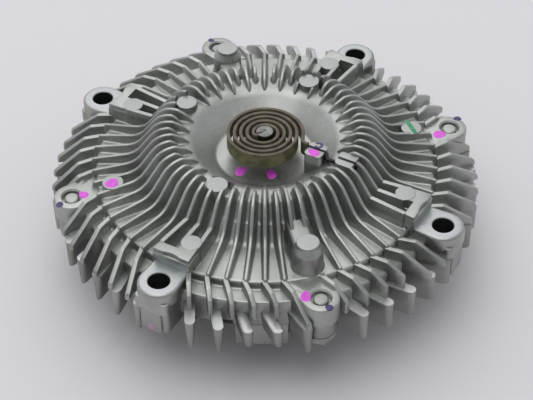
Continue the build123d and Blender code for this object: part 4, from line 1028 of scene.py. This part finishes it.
piece("purple_marks", purple_drops, lacquer("purple_lacquer", "#453A72", "#2E2850"),
      "housing")
stripe_turn = math.atan2(-10.0, 1.1)
stripe = ring_outline([(-4.5, -1.0), (4.6, -0.9), (4.4, 0.9), (-4.3, 1.0)], 0.5)
stripe = prism(stripe, web_pad_top - 0.02, web_pad_top + 0.06, 0.03)
stripe = placed(stripe, [stripe_turn])[0] + np.array([63.0, 0.4, 0])
piece("green_mark", [surface(stripe, wrap_columns=True, caps=True)],
      lacquer("green_lacquer", "#35996C", "#2B8059"), "housing")
flat_drop, drop_faces = drop(0.0, 0.0, 0.0, 1.6, 1.9, 1.0)
side_drop = np.column_stack([
    tip_radius + flat_drop[:, 2], flat_drop[:, 1] + 0.2, flat_drop[:, 0] + 26.5
])
side_drop = placed(side_drop, fan_lug_angles[2:3])[0]
piece("pale_pink_mark", [(side_drop, drop_faces)],
      lacquer("worn_pink_lacquer", "#B98AA9", "#A9909F"), "housing")
# The black stroke is painted shade: the deep shade under the rear rim, beside the cast block.
shade_in = rim_radius - 0.05
shade_out = rim_radius + 0.06
rim_shade_strip = turned([(shade_in, 28.1), (shade_out, 28.1), (shade_out, 29.9), (shade_in, 29.9)],
             np.radians(np.linspace(242.4, 245.8, 6)))
piece("painted_shade_under_rim", [surface(rim_shade_strip, wrap_columns=True, caps=True)],
      lacquer("painted_rim_shade", "#1B1B1D", "#232325"), "housing")


# Studio: a pale painted table, a wide window lamp behind the object and a softer one overhead, in
# a grey room. The camera stands where the photograph was taken from, found by fitting the lugs
# and the fins.
table_paint, _ = new_material("matt_table_paint")
surfaced(table_paint, {"Base Color": linear("#D9D7DA"), "Roughness": 0.8})
bpy.ops.mesh.primitive_plane_add(size=6.0, location=(0, 0, 0))
floor = bpy.context.object
floor.name = "floor"
floor.data.materials.append(table_paint)

view_turn = math.radians(-14.8)
elevation = math.radians(42.725)
roll = math.radians(-0.496)
distance = 628.2
shift_right = 0.48
shift_up = -17.0
focal_pixels = 1537.3
frame_width = 533
film_width = 36.0


def seen_from(side, depth, height):
    """A vector given across, away and up as the camera stands, in the object's frame."""
    flat = (side + 1j * depth) * np.exp(1j * view_turn)
    return np.array([flat.real, flat.imag, height])


back = seen_from(0, -math.cos(elevation), math.sin(elevation))
right = seen_from(1, 0, 0)
up = seen_from(0, math.sin(elevation), math.cos(elevation))
place = np.array([0, 0, fan_face]) + back * distance + right * shift_right + up * shift_up
camera_right = math.cos(roll) * right + math.sin(roll) * up
camera_up = -math.sin(roll) * right + math.cos(roll) * up
camera_data = bpy.data.cameras.new("camera")
camera_data.sensor_width = film_width
camera_data.lens = focal_pixels / frame_width * film_width


def set_up(name, data, right, up, back, place):
    """Puts a camera or lamp at a place in metres, its three axes given in the object's frame."""
    made = bpy.data.objects.new(name, data)
    bpy.context.scene.collection.objects.link(made)
    stand = np.eye(4)
    stand[:3] = np.column_stack([right, up, back, place])
    made.matrix_world = Matrix(stand.tolist())
    return made


bpy.context.scene.camera = set_up("camera", camera_data, camera_right, camera_up, back, place * MM)


def soft_lamp(name, side, depth, height, size, power):
    """A square lamp placed as the camera stands, aimed at the object."""
    data = bpy.data.lights.new(name, "AREA")
    data.shape = "SQUARE"
    data.size = size
    data.energy = power
    spot = seen_from(side, depth, height)
    aim = spot / np.linalg.norm(spot)
    level = np.cross([0, 0, 1], aim)
    level /= np.linalg.norm(level)
    set_up(name, data, level, np.cross(aim, level), aim, spot)


soft_lamp("window_lamp", -0.3, 1.5, 1.6, 2.1, 11)
soft_lamp("ceiling_lamp", -0.3, -0.3, 2.2, 1.8, 15)
world = bpy.data.worlds.new("studio")
world.use_nodes = True
world.node_tree.nodes.clear()
toward = add_node(world, "ShaderNodeTexCoord").outputs["Generated"]
window_way = seen_from(-0.2, 0.8, 0.57)
away = add_node(world, "ShaderNodeVectorMath", {0: toward, 1: window_way}, operation="DOT_PRODUCT")
room = add_node(world, "ShaderNodeMapRange", {
    "Value": away.outputs["Value"], "From Min": -0.7, "From Max": 0.6,
})
walls = add_node(world, "ShaderNodeMixRGB", {
    "Fac": room.outputs["Result"], "Color1": linear("#939597"), "Color2": linear("#E0E1E4"),
})
sky = add_node(world, "ShaderNodeBackground", {"Color": walls.outputs["Color"], "Strength": 0.95})
add_node(world, "ShaderNodeOutputWorld", {"Surface": sky.outputs["Background"]})
bpy.context.scene.world = world
bpy.context.scene.view_settings.view_transform = "Standard"
